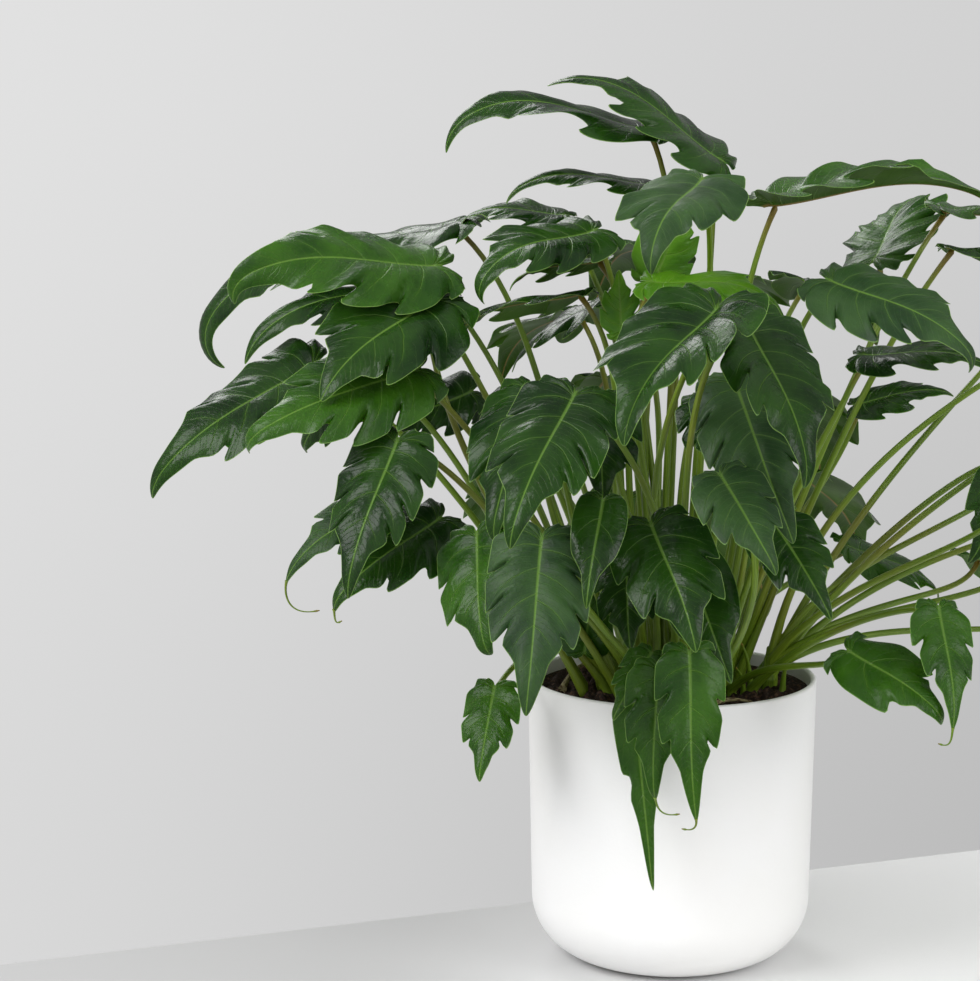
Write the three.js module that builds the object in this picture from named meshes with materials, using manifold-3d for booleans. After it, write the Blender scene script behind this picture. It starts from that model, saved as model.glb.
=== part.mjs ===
// A potted philodendron: a white ceramic pot, its soil, and long-stalked lobed leaves that stand in the soil.
// Millimetres, +Z up. The origin is the middle of the pot's foot, on the surface that it stands on.

import * as THREE from 'three';
import { mergeVertices } from 'three/addons/utils/BufferGeometryUtils.js';
import Module from 'manifold-3d';

const wasm = await Module();
wasm.setup();

// Pot and soil
const POT_RADIUS = 125;
const POT_HEIGHT = 248;
const POT_TAPER = 3.6;
const POT_CORNER = 54;
const POT_WALL = 5;
const POT_FLOOR = 8;
const POT_SIDES = 36;
const RIM_ROUND = 2.4;
const SOIL_DROP = 10;
const FIT_GAP = 0.3;
const SOIL_TOP = POT_HEIGHT - SOIL_DROP;
const CAVITY_RADIUS = POT_RADIUS - POT_WALL;

// Leaf stalks
const STALK_SIDES = 5;
const STALK_STEPS = 4;
const STALK_FOOT_RADIUS = 2.9;
const STALK_KNEE_RADIUS = 1.9;
const FOOT_DEPTH = 14;
const FOOT_RISE = 3;
const FOOT_WALL = 3.2;
const HOLE_SIDES = 6;
const KNEE_DROP = 3;

// A foot's distance from the pot's middle, as a share of its knee's, and the steps out, in and round
// by which it looks for a free place
const FOOT_REACH = 0.27;
const FOOT_ROUNDS = 45;
const FOOT_TURNS = 9;
const FOOT_TURN = 0.09;
const FOOT_OUT = 1.5;
const FOOT_IN = 0.4;
const FOOT_NEAREST = 10;
const FOOT_FARTHEST = 92;

// Where a stalk's curve leans: its lower control point's share of the way to the knee and its rise, then
// how far the upper one lies below and behind the blade, in arms, and the share of a bend that it takes
const LOW_SHARE = 0.3;
const STALK_RISE = 0.14;
const ARM_SHARE = 0.3;
const ARM_LEAST = 28;
const ARM_MOST = 90;
const BELOW_BLADE = 0.9;
const BEHIND_BLADE = 0.4;
const HIGH_BEND = 0.7;

// A stalk whose knee is lower than this climbs over the rim on its way.
const RIM_CLIMB = 295;

// Short stems at the back, each with several leaves
const STEM_RADIUS = 8;
const STEM_SIDES = 8;
const STEM_DEPTH = 18;
const STEM_TAPER = 0.85;
const STEM_INSET = 0.4;
const STEM_LOWEST = 0.3;
const STEM_HIGHEST = 0.8;

// Leaf blades
const BLADE_THICKNESS = 0.9;
const SINUS_DEPTH = 0.38;
const RIB_START = 0.18;
const WAVE_HEIGHT = 0.07;
const WAVE_COUNT = 2.6;
const WAVE_STEP = 0.37;
const EDGE_DROOP = 0.12;
const HEEL_REACH = 0.15;
const BULGE_PLACE = 0.45;
const BULGE_HEIGHT = 0.15;
const HOOK_HEIGHT = 0.5;
const ROOT_EASE = 1.15;

// Two control points at this share of the way to a single one give the same curve.
const CUBIC_SHARE = 2 / 3;

// Rows across a blade, each as its share of the way along and how much of a cut it has, in groups that
// start from one place on the midrib: the basal lobe's, then the tip's. Cut lobes lie between the two,
// each with its crest and its last row at these shares of its own length.
const BASAL_GROUP = { root: 0, rows: [[0, 0], [0.06, 0], [0.125, 0]] };
const LOBE_START = 0.17;
const LOBE_END = 0.58;
const LOBE_CREST = 0.3;
const LOBE_LAST = 0.75;
const TIP_GROUPS = [
  { root: 0.68, rows: [[LOBE_END, 1], [0.67, 0]] },
  { root: 0.84, rows: [[0.78, 0], [0.9, 0], [0.97, 0]] },
];

// The groups of a blade that has no cuts
const WHOLE_GROUPS = [
  { root: 0, rows: [[0, 0], [0.06, 0], [0.14, 0]] },
  { root: 0.4, rows: [[0.24, 0], [0.38, 0], [0.54, 0]] },
  { root: 0.8, rows: [[0.7, 0], [0.84, 0], [0.94, 0]] },
];

// A rib leaves the midrib at this angle near the tip, and turns this much further back towards the knee.
const RIB_ANGLE = 42;
const RIB_TURN = 138;
const RIB_FADE = 0.22;

// How fast the blade widens from the knee, how full its sides are, and how its tip narrows
const SWELL_PLACE = 0.75;
const SWELL_FULLNESS = 0.8;
const TIP_NARROWING = 0.4;
const NARROW_FROM = 0.5;
const NARROW_TO = 0.8;

// The least width of the tip lobe, which stays even along it and rounds off at the end
const STRAP_WIDTH = 0.5;
const STRAP_ROUNDING = 6;
const STRAP_FROM = 0.4;

// The least distance between two leaves, and from a leaf to the pot
const LEAF_GAP = 5;
const STALK_GAP = 5.5;
const POT_GAP = 4;
const SAMPLE_STEP = 4.5;
const SAMPLE_INSET = 2;
const KNEE_CLEAR = 14;
const LEAD_ATTEMPTS = 12;

// The leaves' places were sighted from this point, against the upright plane through the pot's middle.
const EYE = new THREE.Vector3(0, -2400, 778);

const UPRIGHT = new THREE.Vector3(0, 0, 1);

// Which way a blade's upper side faces
const LEVEL = [0, -0.15, 1];
const TILTED = [0, -0.5, 0.85];
const SLOPED = [0, -0.72, 0.7];
const HANGING = [0, -0.95, 0.3];
const TURNED_BACK = [0, 0.3, 0.95];

// Each leaf: its name, its knee and its tip as [across, up, depth], its facing, then how wide it is
// for its length, how many cuts a side has, how much the blade arches and, where it is folded up along
// the midrib, how much.
const LEAVES = [
  ['leaf_left_1', [-208, 602, -45], [-396, 576, -95], TILTED, 0.32, 4, 0.45],
  ['leaf_left_2', [-190, 638, 45], [-423, 512, 60], [0, -0.05, 1], 0.26, 4, 0.55],
  ['leaf_left_3', [-205, 586, 10], [-375, 519, 0], LEVEL, 0.28, 3, 0.45],
  ['leaf_left_4', [-209, 572, -90], [-306, 486, -175], SLOPED, 0.42, 3, 0.30],
  ['leaf_left_5', [-312, 516, -20], [-461, 399, -60], TILTED, 0.28, 4, 0.40],
  ['leaf_left_6', [-225, 512, -120], [-383, 441, -180], SLOPED, 0.31, 4, 0.35],
  ['leaf_left_7', [-177, 493, 60], [-245, 453, 80], SLOPED, 0.38, 3, 0.30],
  ['leaf_left_8', [-147, 492, 100], [-193, 461, 120], TILTED, 0.30, 2, 0.20],
  ['leaf_left_9', [-284, 499, 40], [-323, 438, 60], SLOPED, 0.38, 3, 0.20],
  ['leaf_left_10', [-240, 448, -150], [-285, 311, -205], [-0.3, -0.9, 0.3], 0.32, 4, 0.25],
  ['leaf_left_11', [-241, 402, -60], [-339, 325, -85], [-0.3, -0.7, 0.6], 0.27, 3, 0.40],
  ['leaf_left_12', [-205, 381, -120], [-301, 301, -175], [-0.2, -0.7, 0.7], 0.36, 3, 0.30],
  ['leaf_left_13', [-170, 367, -170], [-161, 258, -225], [-0.4, -0.85, 0.3], 0.40, 3, 0.25],
  ['leaf_left_14', [-155, 232, -110], [-169, 149, -150], [-0.3, -0.9, 0.3], 0.34, 3, 0.15],
  ['leaf_top_1', [-23, 718, 0], [-206, 705, -12], LEVEL, 0.28, 3, 0.60],
  ['leaf_top_2', [33, 695, 35], [-111, 758, 40], [0.1, -0.3, 0.95], 0.32, 4, 0.50],
  ['leaf_top_3', [20, 675, -125], [-24, 596, -215], [-0.2, -0.7, 0.6], 0.42, 3, 0.55],
  ['leaf_top_4', [-23, 672, 30], [-148, 659, 20], LEVEL, 0.24, 3, 0.45],
  ['leaf_top_5', [-17, 595, -40], [11, 659, -30], [0.3, -0.9, 0.2], 0.42, 3, 0.20],
  ['leaf_top_6', [-18, 589, -85], [95, 560, -100], [0, -0.3, 0.95], 0.34, 3, 0.50],
  ['leaf_top_7', [-46, 548, -60], [-49, 600, -50], [-0.2, -0.9, 0.3], 0.38, 3, 0.15],
  ['leaf_top_8', [-72, 632, -60], [-176, 568, -115], [0, -0.4, 0.9], 0.36, 4, 0.65],
  ['leaf_top_9', [-99, 646, 70], [-186, 640, 80], [0, -0.25, 1], 0.38, 3, 0.40],
  ['leaf_top_10', [-82, 579, -20], [-203, 521, -25], [0, 0.2, 1], 0.32, 3, 0.50],
  ['leaf_top_11', [-64, 574, 70], [-141, 512, 85], LEVEL, 0.38, 3, 0.30],
  ['leaf_top_12', [-65, 607, 5], [-145, 584, -15], TURNED_BACK, 0.36, 3, 0.30],
  ['leaf_middle_1', [-87, 490, -195], [-144, 357, -290], [-0.15, -0.8, 0.55], 0.34, 4, 0.35],
  ['leaf_middle_2', [-124, 494, -115], [-160, 361, -205], [-0.3, -0.8, 0.5], 0.32, 4, 0.25],
  ['leaf_middle_3', [-66, 484, -100], [-61, 399, -140], HANGING, 0.44, 3, 0.25],
  ['leaf_middle_4', [-114, 364, -220], [-128, 208, -285], [-0.1, -0.9, 0.4], 0.32, 4, 0.25],
  ['leaf_middle_5', [-61, 399, -205], [-75, 304, -245], HANGING, 0.26, 0, 0.20],
  ['leaf_middle_6', [34, 565, -235], [-45, 449, -325], [-0.5, -0.7, 0.5], 0.42, 4, 0.40, 0.25],
  ['leaf_middle_7', [62, 552, -215], [116, 412, -285], [0.45, -0.75, 0.5], 0.34, 4, 0.35, 0.15],
  ['leaf_middle_8', [52, 502, -150], [105, 363, -225], HANGING, 0.32, 4, 0.25],
  ['leaf_middle_9', [41, 422, -200], [92, 336, -255], SLOPED, 0.34, 3, 0.30],
  ['leaf_middle_10', [85, 385, -135], [138, 298, -190], SLOPED, 0.33, 3, 0.30],
  ['leaf_middle_11', [26, 488, -90], [40, 425, -130], HANGING, 0.42, 3, 0.25],
  ['leaf_front_1', [-18, 377, -190], [21, 268, -250], [0, -0.9, 0.45], 0.40, 3, 0.25],
  ['leaf_front_2', [13, 345, -145], [52, 240, -190], HANGING, 0.32, 0, 0.20],
  ['leaf_front_3', [15, 265, -195], [23, 116, -218], [0.1, -0.95, 0.25], 0.23, 3, 0.20],
  ['leaf_front_4', [-12, 251, -180], [-14, 132, -202], [-0.1, -0.95, 0.25], 0.27, 3, 0.20],
  ['leaf_front_5', [-34, 232, -142], [-15, 49, -165], [-0.1, -0.95, 0.2], 0.12, 2, 0.08],
  ['leaf_front_6', [-19, 265, -155], [-52, 206, -182], [-0.3, -0.85, 0.4], 0.34, 3, 0.20],
  ['leaf_front_7', [-40, 345, -90], [-36, 268, -122], HANGING, 0.40, 3, 0.20],
  ['leaf_front_8', [-76, 269, -60], [-72, 322, -75], [0, -0.95, 0.2], 0.42, 0, 0.15],
  ['leaf_right_1', [83, 655, -30], [281, 648, -55], [0, -0.05, 1], 0.34, 4, 0.40, 0.35],
  ['leaf_right_2', [226, 650, 60], [348, 610, 55], [0, 0, 1], 0.36, 4, 0.45, 0.2],
  ['leaf_right_3', [169, 612, 60], [209, 664, 150], [0.1, 0.55, 0.8], 0.50, 4, 0.30],
  ['leaf_right_4', [133, 590, -120], [263, 515, -170], [0.1, -0.5, 0.85], 0.34, 4, 0.45],
  ['leaf_right_5', [163, 528, -60], [276, 512, -90], [0, -0.25, 1], 0.34, 3, 0.40],
  ['leaf_right_6', [157, 486, 45], [238, 496, 30], [0, -0.4, 0.9], 0.36, 3, 0.30],
  ['leaf_right_7', [233, 619, 10], [324, 589, -10], [0, 0.15, 1], 0.36, 3, 0.40],
  ['leaf_right_8', [155, 269, -150], [240, 207, -195], [0.2, -0.75, 0.65], 0.36, 2, 0.35],
  ['leaf_right_9', [229, 308, -140], [244, 202, -185], [0.35, -0.9, 0.2], 0.28, 3, 0.20],
  ['leaf_right_10', [287, 431, -20], [253, 346, -40], [0.3, -0.8, 0.4], 0.32, 2, 0.20],
];

// Leaves that share a short stem: the stem's name, its place in the soil and its height, then its leaves.
const STEMS = [
  ['stem_right', [84, 12], 34, [
    [[345, 492, -40], [455, 436, -70], [0.3, -0.4, 0.85], 0.34, 3, 0.40],
    [[352, 398, 30], [440, 320, 40], [0.5, -0.3, 0.8], 0.34, 3, 0.40],
    [[318, 300, 60], [388, 226, 80], [0.6, -0.3, 0.7], 0.36, 3, 0.35],
    [[296, 560, 120], [400, 520, 160], [0.3, 0.2, 0.9], 0.34, 2, 0.40],
    [[304, 350, -50], [396, 290, -90], [0.4, -0.4, 0.8], 0.34, 3, 0.35],
    [[318, 442, 110], [410, 400, 160], [0.4, 0.1, 0.9], 0.34, 2, 0.35],
    [[288, 400, -110], [372, 345, -165], [0.3, -0.6, 0.7], 0.34, 2, 0.35],
    [[262, 352, 130], [330, 290, 190], [0.5, 0.3, 0.8], 0.34, 2, 0.35],
    [[326, 545, -20], [412, 500, -35], [0.2, -0.2, 0.95], 0.34, 2, 0.40],
  ]],
  ['stem_back_right', [38, 76], 36, [
    [[40, 590, 180], [62, 535, 320], [0.1, 0.5, 0.85], 0.38, 3, 0.45],
    [[95, 500, 200], [125, 420, 310], [0.3, 0.75, 0.6], 0.38, 3, 0.35],
    [[60, 400, 190], [80, 300, 270], [0.1, 0.9, 0.4], 0.40, 2, 0.30],
    [[152, 362, 105], [232, 318, 135], [0.2, -0.3, 0.9], 0.36, 3, 0.35],
    [[112, 590, 125], [172, 538, 225], [0.4, 0.4, 0.8], 0.38, 3, 0.40],
    [[110, 425, 160], [160, 350, 250], [0.5, 0.7, 0.5], 0.38, 2, 0.35],
  ]],
  ['stem_back_left', [-42, 74], 36, [
    [[-30, 620, 160], [-70, 570, 300], [-0.1, 0.5, 0.85], 0.38, 3, 0.45],
    [[-60, 505, 190], [-100, 430, 300], [-0.3, 0.75, 0.6], 0.38, 3, 0.35],
    [[-40, 400, 190], [-60, 300, 260], [-0.1, 0.9, 0.4], 0.40, 2, 0.30],
    [[-95, 370, 120], [-130, 280, 180], [-0.5, 0.6, 0.6], 0.38, 2, 0.35],
    [[-85, 565, 175], [-150, 505, 275], [-0.4, 0.5, 0.75], 0.38, 3, 0.40],
    [[-120, 440, 175], [-165, 352, 265], [-0.5, 0.7, 0.5], 0.38, 3, 0.35],
  ]],
];

// Forward and back steps that a blade may take to stand clear of the others, the smallest first
const SHIFT_STEP = 6;
const SHIFT_COUNT = 14;
const BLADE_SHIFTS = [0];
for (let step = 1; step <= SHIFT_COUNT; step += 1) {
  BLADE_SHIFTS.push(-SHIFT_STEP * step, SHIFT_STEP * step);
}

// Sideways and outward bends that a stalk may take to pass the other leaves, the smallest first
const BEND_REACHES = [12, 24, 36, 48, 60, 75, 90, 110, 130, 150];
const BEND_TURNS = 12;
const STALK_BENDS = [[0, 0]];
for (const reach of BEND_REACHES) {
  for (let turn = 0; turn < BEND_TURNS; turn += 1) {
    const angle = 2 * Math.PI * turn / BEND_TURNS;
    STALK_BENDS.push([reach * Math.cos(angle), reach * Math.sin(angle)]);
  }
}

const GREEN = new THREE.MeshStandardMaterial({ color: 0x2c5a2a, roughness: 0.42, metalness: 0 });
const CERAMIC = new THREE.MeshStandardMaterial({ color: 0xf2f2f0, roughness: 0.45, metalness: 0 });
const PEAT = new THREE.MeshStandardMaterial({ color: 0x1d1511, roughness: 0.95, metalness: 0 });

function vector([x, y, z]) {
  return new THREE.Vector3(x, y, z);
}

// A place seen against the upright middle plane, moved to its real depth along the line of sight
function sighted([across, up, depth], shift) {
  const seen = new THREE.Vector3(across, 0, up);
  const scale = 1 + (depth + shift) / -EYE.y;
  return seen.sub(EYE).multiplyScalar(scale).add(EYE);
}

// The blade's mid-surface: rows of ribs run from the midrib to an edge that its lobes cut in and out.
function makeBlade(spec, shift, seed) {
  const [kneePlace, tipPlace, facing, width, lobes, arch, fold = 0] = spec;
  const knee = sighted(kneePlace, shift);
  const tip = sighted(tipPlace, shift);
  const chord = tip.clone().sub(knee);
  const length = chord.length();
  chord.normalize();
  const upper = vector(facing);
  upper.addScaledVector(chord, -upper.dot(chord)).normalize();
  const side = chord.clone().cross(upper).normalize();
  const bulge = knee.clone().lerp(tip, BULGE_PLACE).addScaledVector(upper, arch * length * BULGE_HEIGHT);
  const nearKnee = knee.clone().lerp(bulge, CUBIC_SHARE);
  const nearTip = tip.clone().lerp(bulge, CUBIC_SHARE).addScaledVector(upper, arch * length * HOOK_HEIGHT);
  const midrib = new THREE.CubicBezierCurve3(knee, nearKnee, nearTip, tip);

  const rootAt = (u) => (u <= RIB_START ? 0 : Math.pow((u - RIB_START) / (1 - RIB_START), ROOT_EASE));
  const lobeWidth = (LOBE_END - LOBE_START) / Math.max(lobes - 1, 1);

  const edgeAt = (u, hand, notch) => {
    const root = rootAt(u);
    const start = midrib.getPoint(root);
    const forward = midrib.getTangent(root);
    const normal = side.clone().cross(forward).normalize();
    const angle = THREE.MathUtils.degToRad(RIB_ANGLE + RIB_TURN * Math.exp(-u / RIB_FADE));
    const swell = Math.pow(Math.sin(Math.PI * Math.pow(u, SWELL_PLACE)), SWELL_FULLNESS);
    const narrowed = 1 - TIP_NARROWING * THREE.MathUtils.smoothstep(u, NARROW_FROM, NARROW_TO);
    const grown = STRAP_WIDTH * THREE.MathUtils.smoothstep(u, STRAP_FROM, LOBE_END);
    const strap = grown * Math.sqrt(1 - Math.pow(u, STRAP_ROUNDING));
    const full = length * width * Math.max(swell * narrowed, strap, HEEL_REACH * (1 - u));
    const reach = full * (1 - SINUS_DEPTH * notch);
    const wave = WAVE_HEIGHT * Math.sin(2 * Math.PI * (WAVE_COUNT * u + WAVE_STEP * seed) + hand);
    start.addScaledVector(side, hand * reach * Math.sin(angle));
    start.addScaledVector(forward, reach * Math.cos(angle));
    start.addScaledVector(normal, reach * (wave - EDGE_DROOP + fold));
    return start;
  };

  const sideGroups = [];
  for (let lobe = 0; lobe < lobes - 1; lobe += 1) {
    const from = LOBE_START + lobe * lobeWidth;
    const crest = from + LOBE_CREST * lobeWidth;
    sideGroups.push({ root: crest, rows: [[from, 1], [crest, 0], [from + LOBE_LAST * lobeWidth, 0]] });
  }
  const groups = lobes ? [BASAL_GROUP, ...sideGroups, ...TIP_GROUPS] : WHOLE_GROUPS;

  const points = [knee.clone()];
  const triangles = [];
  const edges = [[], []];
  const roots = groups.map((group, index) => {
    if (index === 0) {
      return 0;
    }
    points.push(midrib.getPoint(rootAt(group.root)));
    return points.length - 1;
  });
  const heelPlace = knee.clone().addScaledVector(midrib.getTangent(0), -HEEL_REACH * length * width);
  const heel = points.push(heelPlace) - 1;
  const point = points.push(tip) - 1;
  for (const hand of [1, -1]) {
    const add = (a, b, c) => triangles.push(hand > 0 ? [a, b, c] : [a, c, b]);
    const edge = edges[hand > 0 ? 0 : 1];
    let last = heel;
    groups.forEach((group, index) => {
      group.rows.forEach(([u, notch], row) => {
        if (index === 0 && row === 0) {
          edge.push(heel);
          return;
        }
        const next = points.push(edgeAt(u, hand, notch)) - 1;
        if (row === 0 && index > 0) {
          add(roots[index - 1], last, next);
          add(roots[index - 1], next, roots[index]);
        } else {
          add(roots[index], last, next);
        }
        edge.push(next);
        last = next;
      });
    });
    add(roots[roots.length - 1], last, point);
    edge.push(point);
  }
  const loop = [...edges[0], ...edges[1].slice(1, -1).reverse()];
  return { knee, midrib, upper, points, triangles, loop, firstRoot: roots[1] };
}

// The average normal of the faces at each point of a blade
function pointNormals(blade) {
  const normals = blade.points.map(() => new THREE.Vector3());
  for (const [a, b, c] of blade.triangles) {
    const ab = blade.points[b].clone().sub(blade.points[a]);
    const ac = blade.points[c].clone().sub(blade.points[a]);
    const normal = ab.cross(ac);
    for (const corner of [a, b, c]) {
      normals[corner].add(normal);
    }
  }
  return normals.map((normal) => normal.normalize());
}

// The stalk's middle line, from the soil to just beneath the blade's knee, with a sideways and outward bend
function stalkPath(blade, foot, bend) {
  const [sideways, outward] = bend;
  const start = foot.clone();
  const end = blade.knee.clone().addScaledVector(blade.upper, -KNEE_DROP);
  const span = start.distanceTo(end);
  const forward = blade.midrib.getTangent(0);
  const out = new THREE.Vector3(end.x - start.x, end.y - start.y, 0);
  const away = out.lengthSq() > 1 ? out.clone().normalize() : new THREE.Vector3(1, 0, 0);
  const across = new THREE.Vector3(-away.y, away.x, 0);
  const arm = THREE.MathUtils.clamp(ARM_SHARE * span, ARM_LEAST, ARM_MOST);
  const climb = Math.max(0, RIM_CLIMB - end.z);
  const low = start.clone().lerp(end, LOW_SHARE).addScaledVector(UPRIGHT, STALK_RISE * span + climb);
  const high = end.clone().addScaledVector(blade.upper, -BELOW_BLADE * arm);
  high.addScaledVector(forward, -BEHIND_BLADE * arm).addScaledVector(UPRIGHT, climb / 2);
  low.addScaledVector(across, sideways).addScaledVector(away, outward);
  high.addScaledVector(across, sideways * HIGH_BEND).addScaledVector(away, outward * HIGH_BEND);
  return new THREE.CubicBezierCurve3(start, low, high, end);
}

// One closed solid for a leaf: both faces of the blade, its edge, and the stalk grown into the lower face
function makeLeafSolid(blade, path) {
  const normals = pointNormals(blade);
  const count = blade.points.length;
  const positions = [];
  for (const sign of [1, -1]) {
    blade.points.forEach((place, index) => {
      positions.push(place.clone().addScaledVector(normals[index], sign * BLADE_THICKNESS / 2));
    });
  }
  const triangles = [];
  for (const [a, b, c] of blade.triangles) {
    triangles.push([a, b, c]);
    if (a !== 0) {
      triangles.push([a + count, c + count, b + count]);
    }
  }
  blade.loop.forEach((a, index) => {
    const b = blade.loop[(index + 1) % blade.loop.length];
    triangles.push([a, a + count, b], [b, a + count, b + count]);
  });

  // The stalk's rings, from the knee to the soil, then straight down to its foot
  const forward = blade.midrib.getTangent(0);
  const ahead = forward.clone();
  const rings = [];
  const addRing = (centre, axis, radius) => {
    ahead.addScaledVector(axis, -ahead.dot(axis)).normalize();
    const across = ahead.clone().cross(axis);
    const ring = [];
    for (let corner = 0; corner < STALK_SIDES; corner += 1) {
      const angle = 2 * Math.PI * corner / STALK_SIDES;
      const place = centre.clone().addScaledVector(ahead, radius * Math.cos(angle));
      place.addScaledVector(across, radius * Math.sin(angle));
      ring.push(positions.push(place) - 1);
    }
    rings.push(ring);
  };
  for (let step = 0; step < STALK_STEPS; step += 1) {
    const along = 1 - step / STALK_STEPS;
    const radius = THREE.MathUtils.lerp(STALK_FOOT_RADIUS, STALK_KNEE_RADIUS, along);
    addRing(path.getPoint(along), step ? path.getTangent(along) : blade.upper, radius);
  }
  const start = path.getPoint(0);
  addRing(start, UPRIGHT, STALK_FOOT_RADIUS);
  addRing(start.clone().setZ(start.z - FOOT_RISE - FOOT_DEPTH), UPRIGHT, STALK_FOOT_RADIUS);
  rings.slice(1).forEach((below, step) => {
    below.forEach((c, corner) => {
      const next = (corner + 1) % STALK_SIDES;
      const [a, b] = [rings[step][corner], rings[step][next]];
      triangles.push([a, b, c], [b, below[next], c]);
    });
  });
  const foot = rings[rings.length - 1];
  for (let corner = 1; corner < STALK_SIDES - 1; corner += 1) {
    triangles.push([foot[0], foot[corner], foot[corner + 1]]);
  }

  // The lower face round the knee is drawn in from its outer loop to the first ring.
  const links = new Map(blade.triangles.filter(([a]) => a === 0).map(([, b, c]) => [c, b]));
  const outer = [blade.firstRoot];
  while (outer.length < links.size) {
    outer.push(links.get(outer[outer.length - 1]));
  }
  const right = forward.clone().cross(blade.upper);
  const bearings = outer.map((index) => {
    const offset = blade.points[index].clone().sub(blade.knee);
    return Math.atan2(offset.dot(right), offset.dot(forward));
  });
  triangles.push(...stitch(outer.map((index) => index + count), bearings, rings[0]));
  return { positions, triangles };
}

// Triangles between an outer and an inner loop that both start ahead and turn the same way
function stitch(outer, bearings, inner) {
  const turn = 2 * Math.PI;
  const outerAngles = bearings.map((angle, index) => (index && angle <= 0 ? angle + turn : angle));
  const angleOf = (step) => (step < outer.length ? outerAngles[step] : turn);
  const triangles = [];
  let i = 0;
  let j = 0;
  while (i < outer.length || j < inner.length) {
    const outerNow = outer[i % outer.length];
    const innerNow = inner[j % inner.length];
    const outerFirst = angleOf(i + 1) <= turn * (j + 1) / inner.length;
    if (i < outer.length && (j >= inner.length || outerFirst)) {
      triangles.push([outerNow, outer[(i + 1) % outer.length], innerNow]);
      i += 1;
    } else {
      triangles.push([outerNow, inner[(j + 1) % inner.length], innerNow]);
      j += 1;
    }
  }
  return triangles;
}

function toGeometry({ positions, triangles }) {
  const geometry = new THREE.BufferGeometry();
  const numbers = new Float32Array(positions.length * 3);
  positions.forEach((place, index) => place.toArray(numbers, index * 3));
  geometry.setAttribute('position', new THREE.BufferAttribute(numbers, 3));
  geometry.setIndex(triangles.flat());
  geometry.computeVertexNormals();
  return geometry;
}

function toSolid(source) {
  const bare = source.clone();
  bare.deleteAttribute('normal');
  bare.deleteAttribute('uv');
  const merged = mergeVertices(bare, 1e-3);
  return new wasm.Manifold(new wasm.Mesh({
    numProp: 3,
    vertProperties: new Float32Array(merged.attributes.position.array),
    triVerts: new Uint32Array(merged.index.array),
  }));
}

function fromSolid(solid) {
  const mesh = solid.getMesh();
  const geometry = new THREE.BufferGeometry();
  geometry.setAttribute('position', new THREE.BufferAttribute(mesh.vertProperties, 3));
  geometry.setIndex(new THREE.BufferAttribute(mesh.triVerts, 1));
  geometry.computeVertexNormals();
  return geometry;
}

// Points spread over a blade, no more than a sample step apart
function bladeSamples(blade) {
  const samples = [];
  for (const corners of blade.triangles) {
    const [a, b, c] = corners.map((index) => blade.points[index]);
    const longest = Math.max(a.distanceTo(b), b.distanceTo(c), c.distanceTo(a));
    const parts = Math.ceil(longest / SAMPLE_STEP);
    for (let i = 0; i <= parts; i += 1) {
      for (let j = 0; j <= parts - i; j += 1) {
        const k = parts - i - j;
        samples.push(new THREE.Vector3()
          .addScaledVector(a, i / parts)
          .addScaledVector(b, j / parts)
          .addScaledVector(c, k / parts));
      }
    }
  }
  return samples;
}

// More cells than the plant spans on any axis, so that each cell has a number of its own
const CELLS = 1000;

// Places already taken, kept in cells so that near ones are found fast
class Taken {
  constructor(gap) {
    this.gap = gap;
    this.cells = new Map();
  }

  key(x, y, z) {
    return x + CELLS * (y + CELLS * z);
  }

  add(places) {
    for (const place of places) {
      const cell = this.key(...place.toArray().map((v) => Math.floor(v / this.gap)));
      if (!this.cells.has(cell)) {
        this.cells.set(cell, []);
      }
      this.cells.get(cell).push(place);
    }
  }

  near(place) {
    const [x, y, z] = place.toArray().map((v) => Math.floor(v / this.gap));
    for (let dx = -1; dx <= 1; dx += 1) {
      for (let dy = -1; dy <= 1; dy += 1) {
        for (let dz = -1; dz <= 1; dz += 1) {
          const found = this.cells.get(this.key(x + dx, y + dy, z + dz));
          if (found && found.some((other) => other.distanceToSquared(place) < this.gap * this.gap)) {
            return true;
          }
        }
      }
    }
    return false;
  }
}

// Whether a place is in or too near the pot, its soil or the surface under it
function nearPot(place) {
  const radius = Math.hypot(place.x, place.y);
  if (place.z < POT_GAP) {
    return true;
  }
  if (radius < CAVITY_RADIUS - POT_GAP) {
    return place.z < SOIL_TOP + POT_GAP;
  }
  return place.z < POT_HEIGHT + POT_GAP && radius < POT_RADIUS + POT_GAP;
}

// How many places clash, counted no further than a limit
function countClashes(places, taken, limit) {
  let clashes = 0;
  for (const place of places) {
    if (nearPot(place) || taken.some((set) => set.near(place))) {
      clashes += 1;
      if (clashes >= limit) {
        return clashes;
      }
    }
  }
  return clashes;
}

// The first choice that clears what is taken, or else the one with the fewest clashes
function firstClear(choices, placesOf, taken) {
  let best = null;
  for (const choice of choices) {
    const places = placesOf(choice);
    const clashes = countClashes(places, taken, best ? best.clashes : Infinity);
    if (!best || clashes < best.clashes) {
      best = { choice, places, clashes };
    }
    if (clashes === 0) {
      break;
    }
  }
  return best;
}

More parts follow.
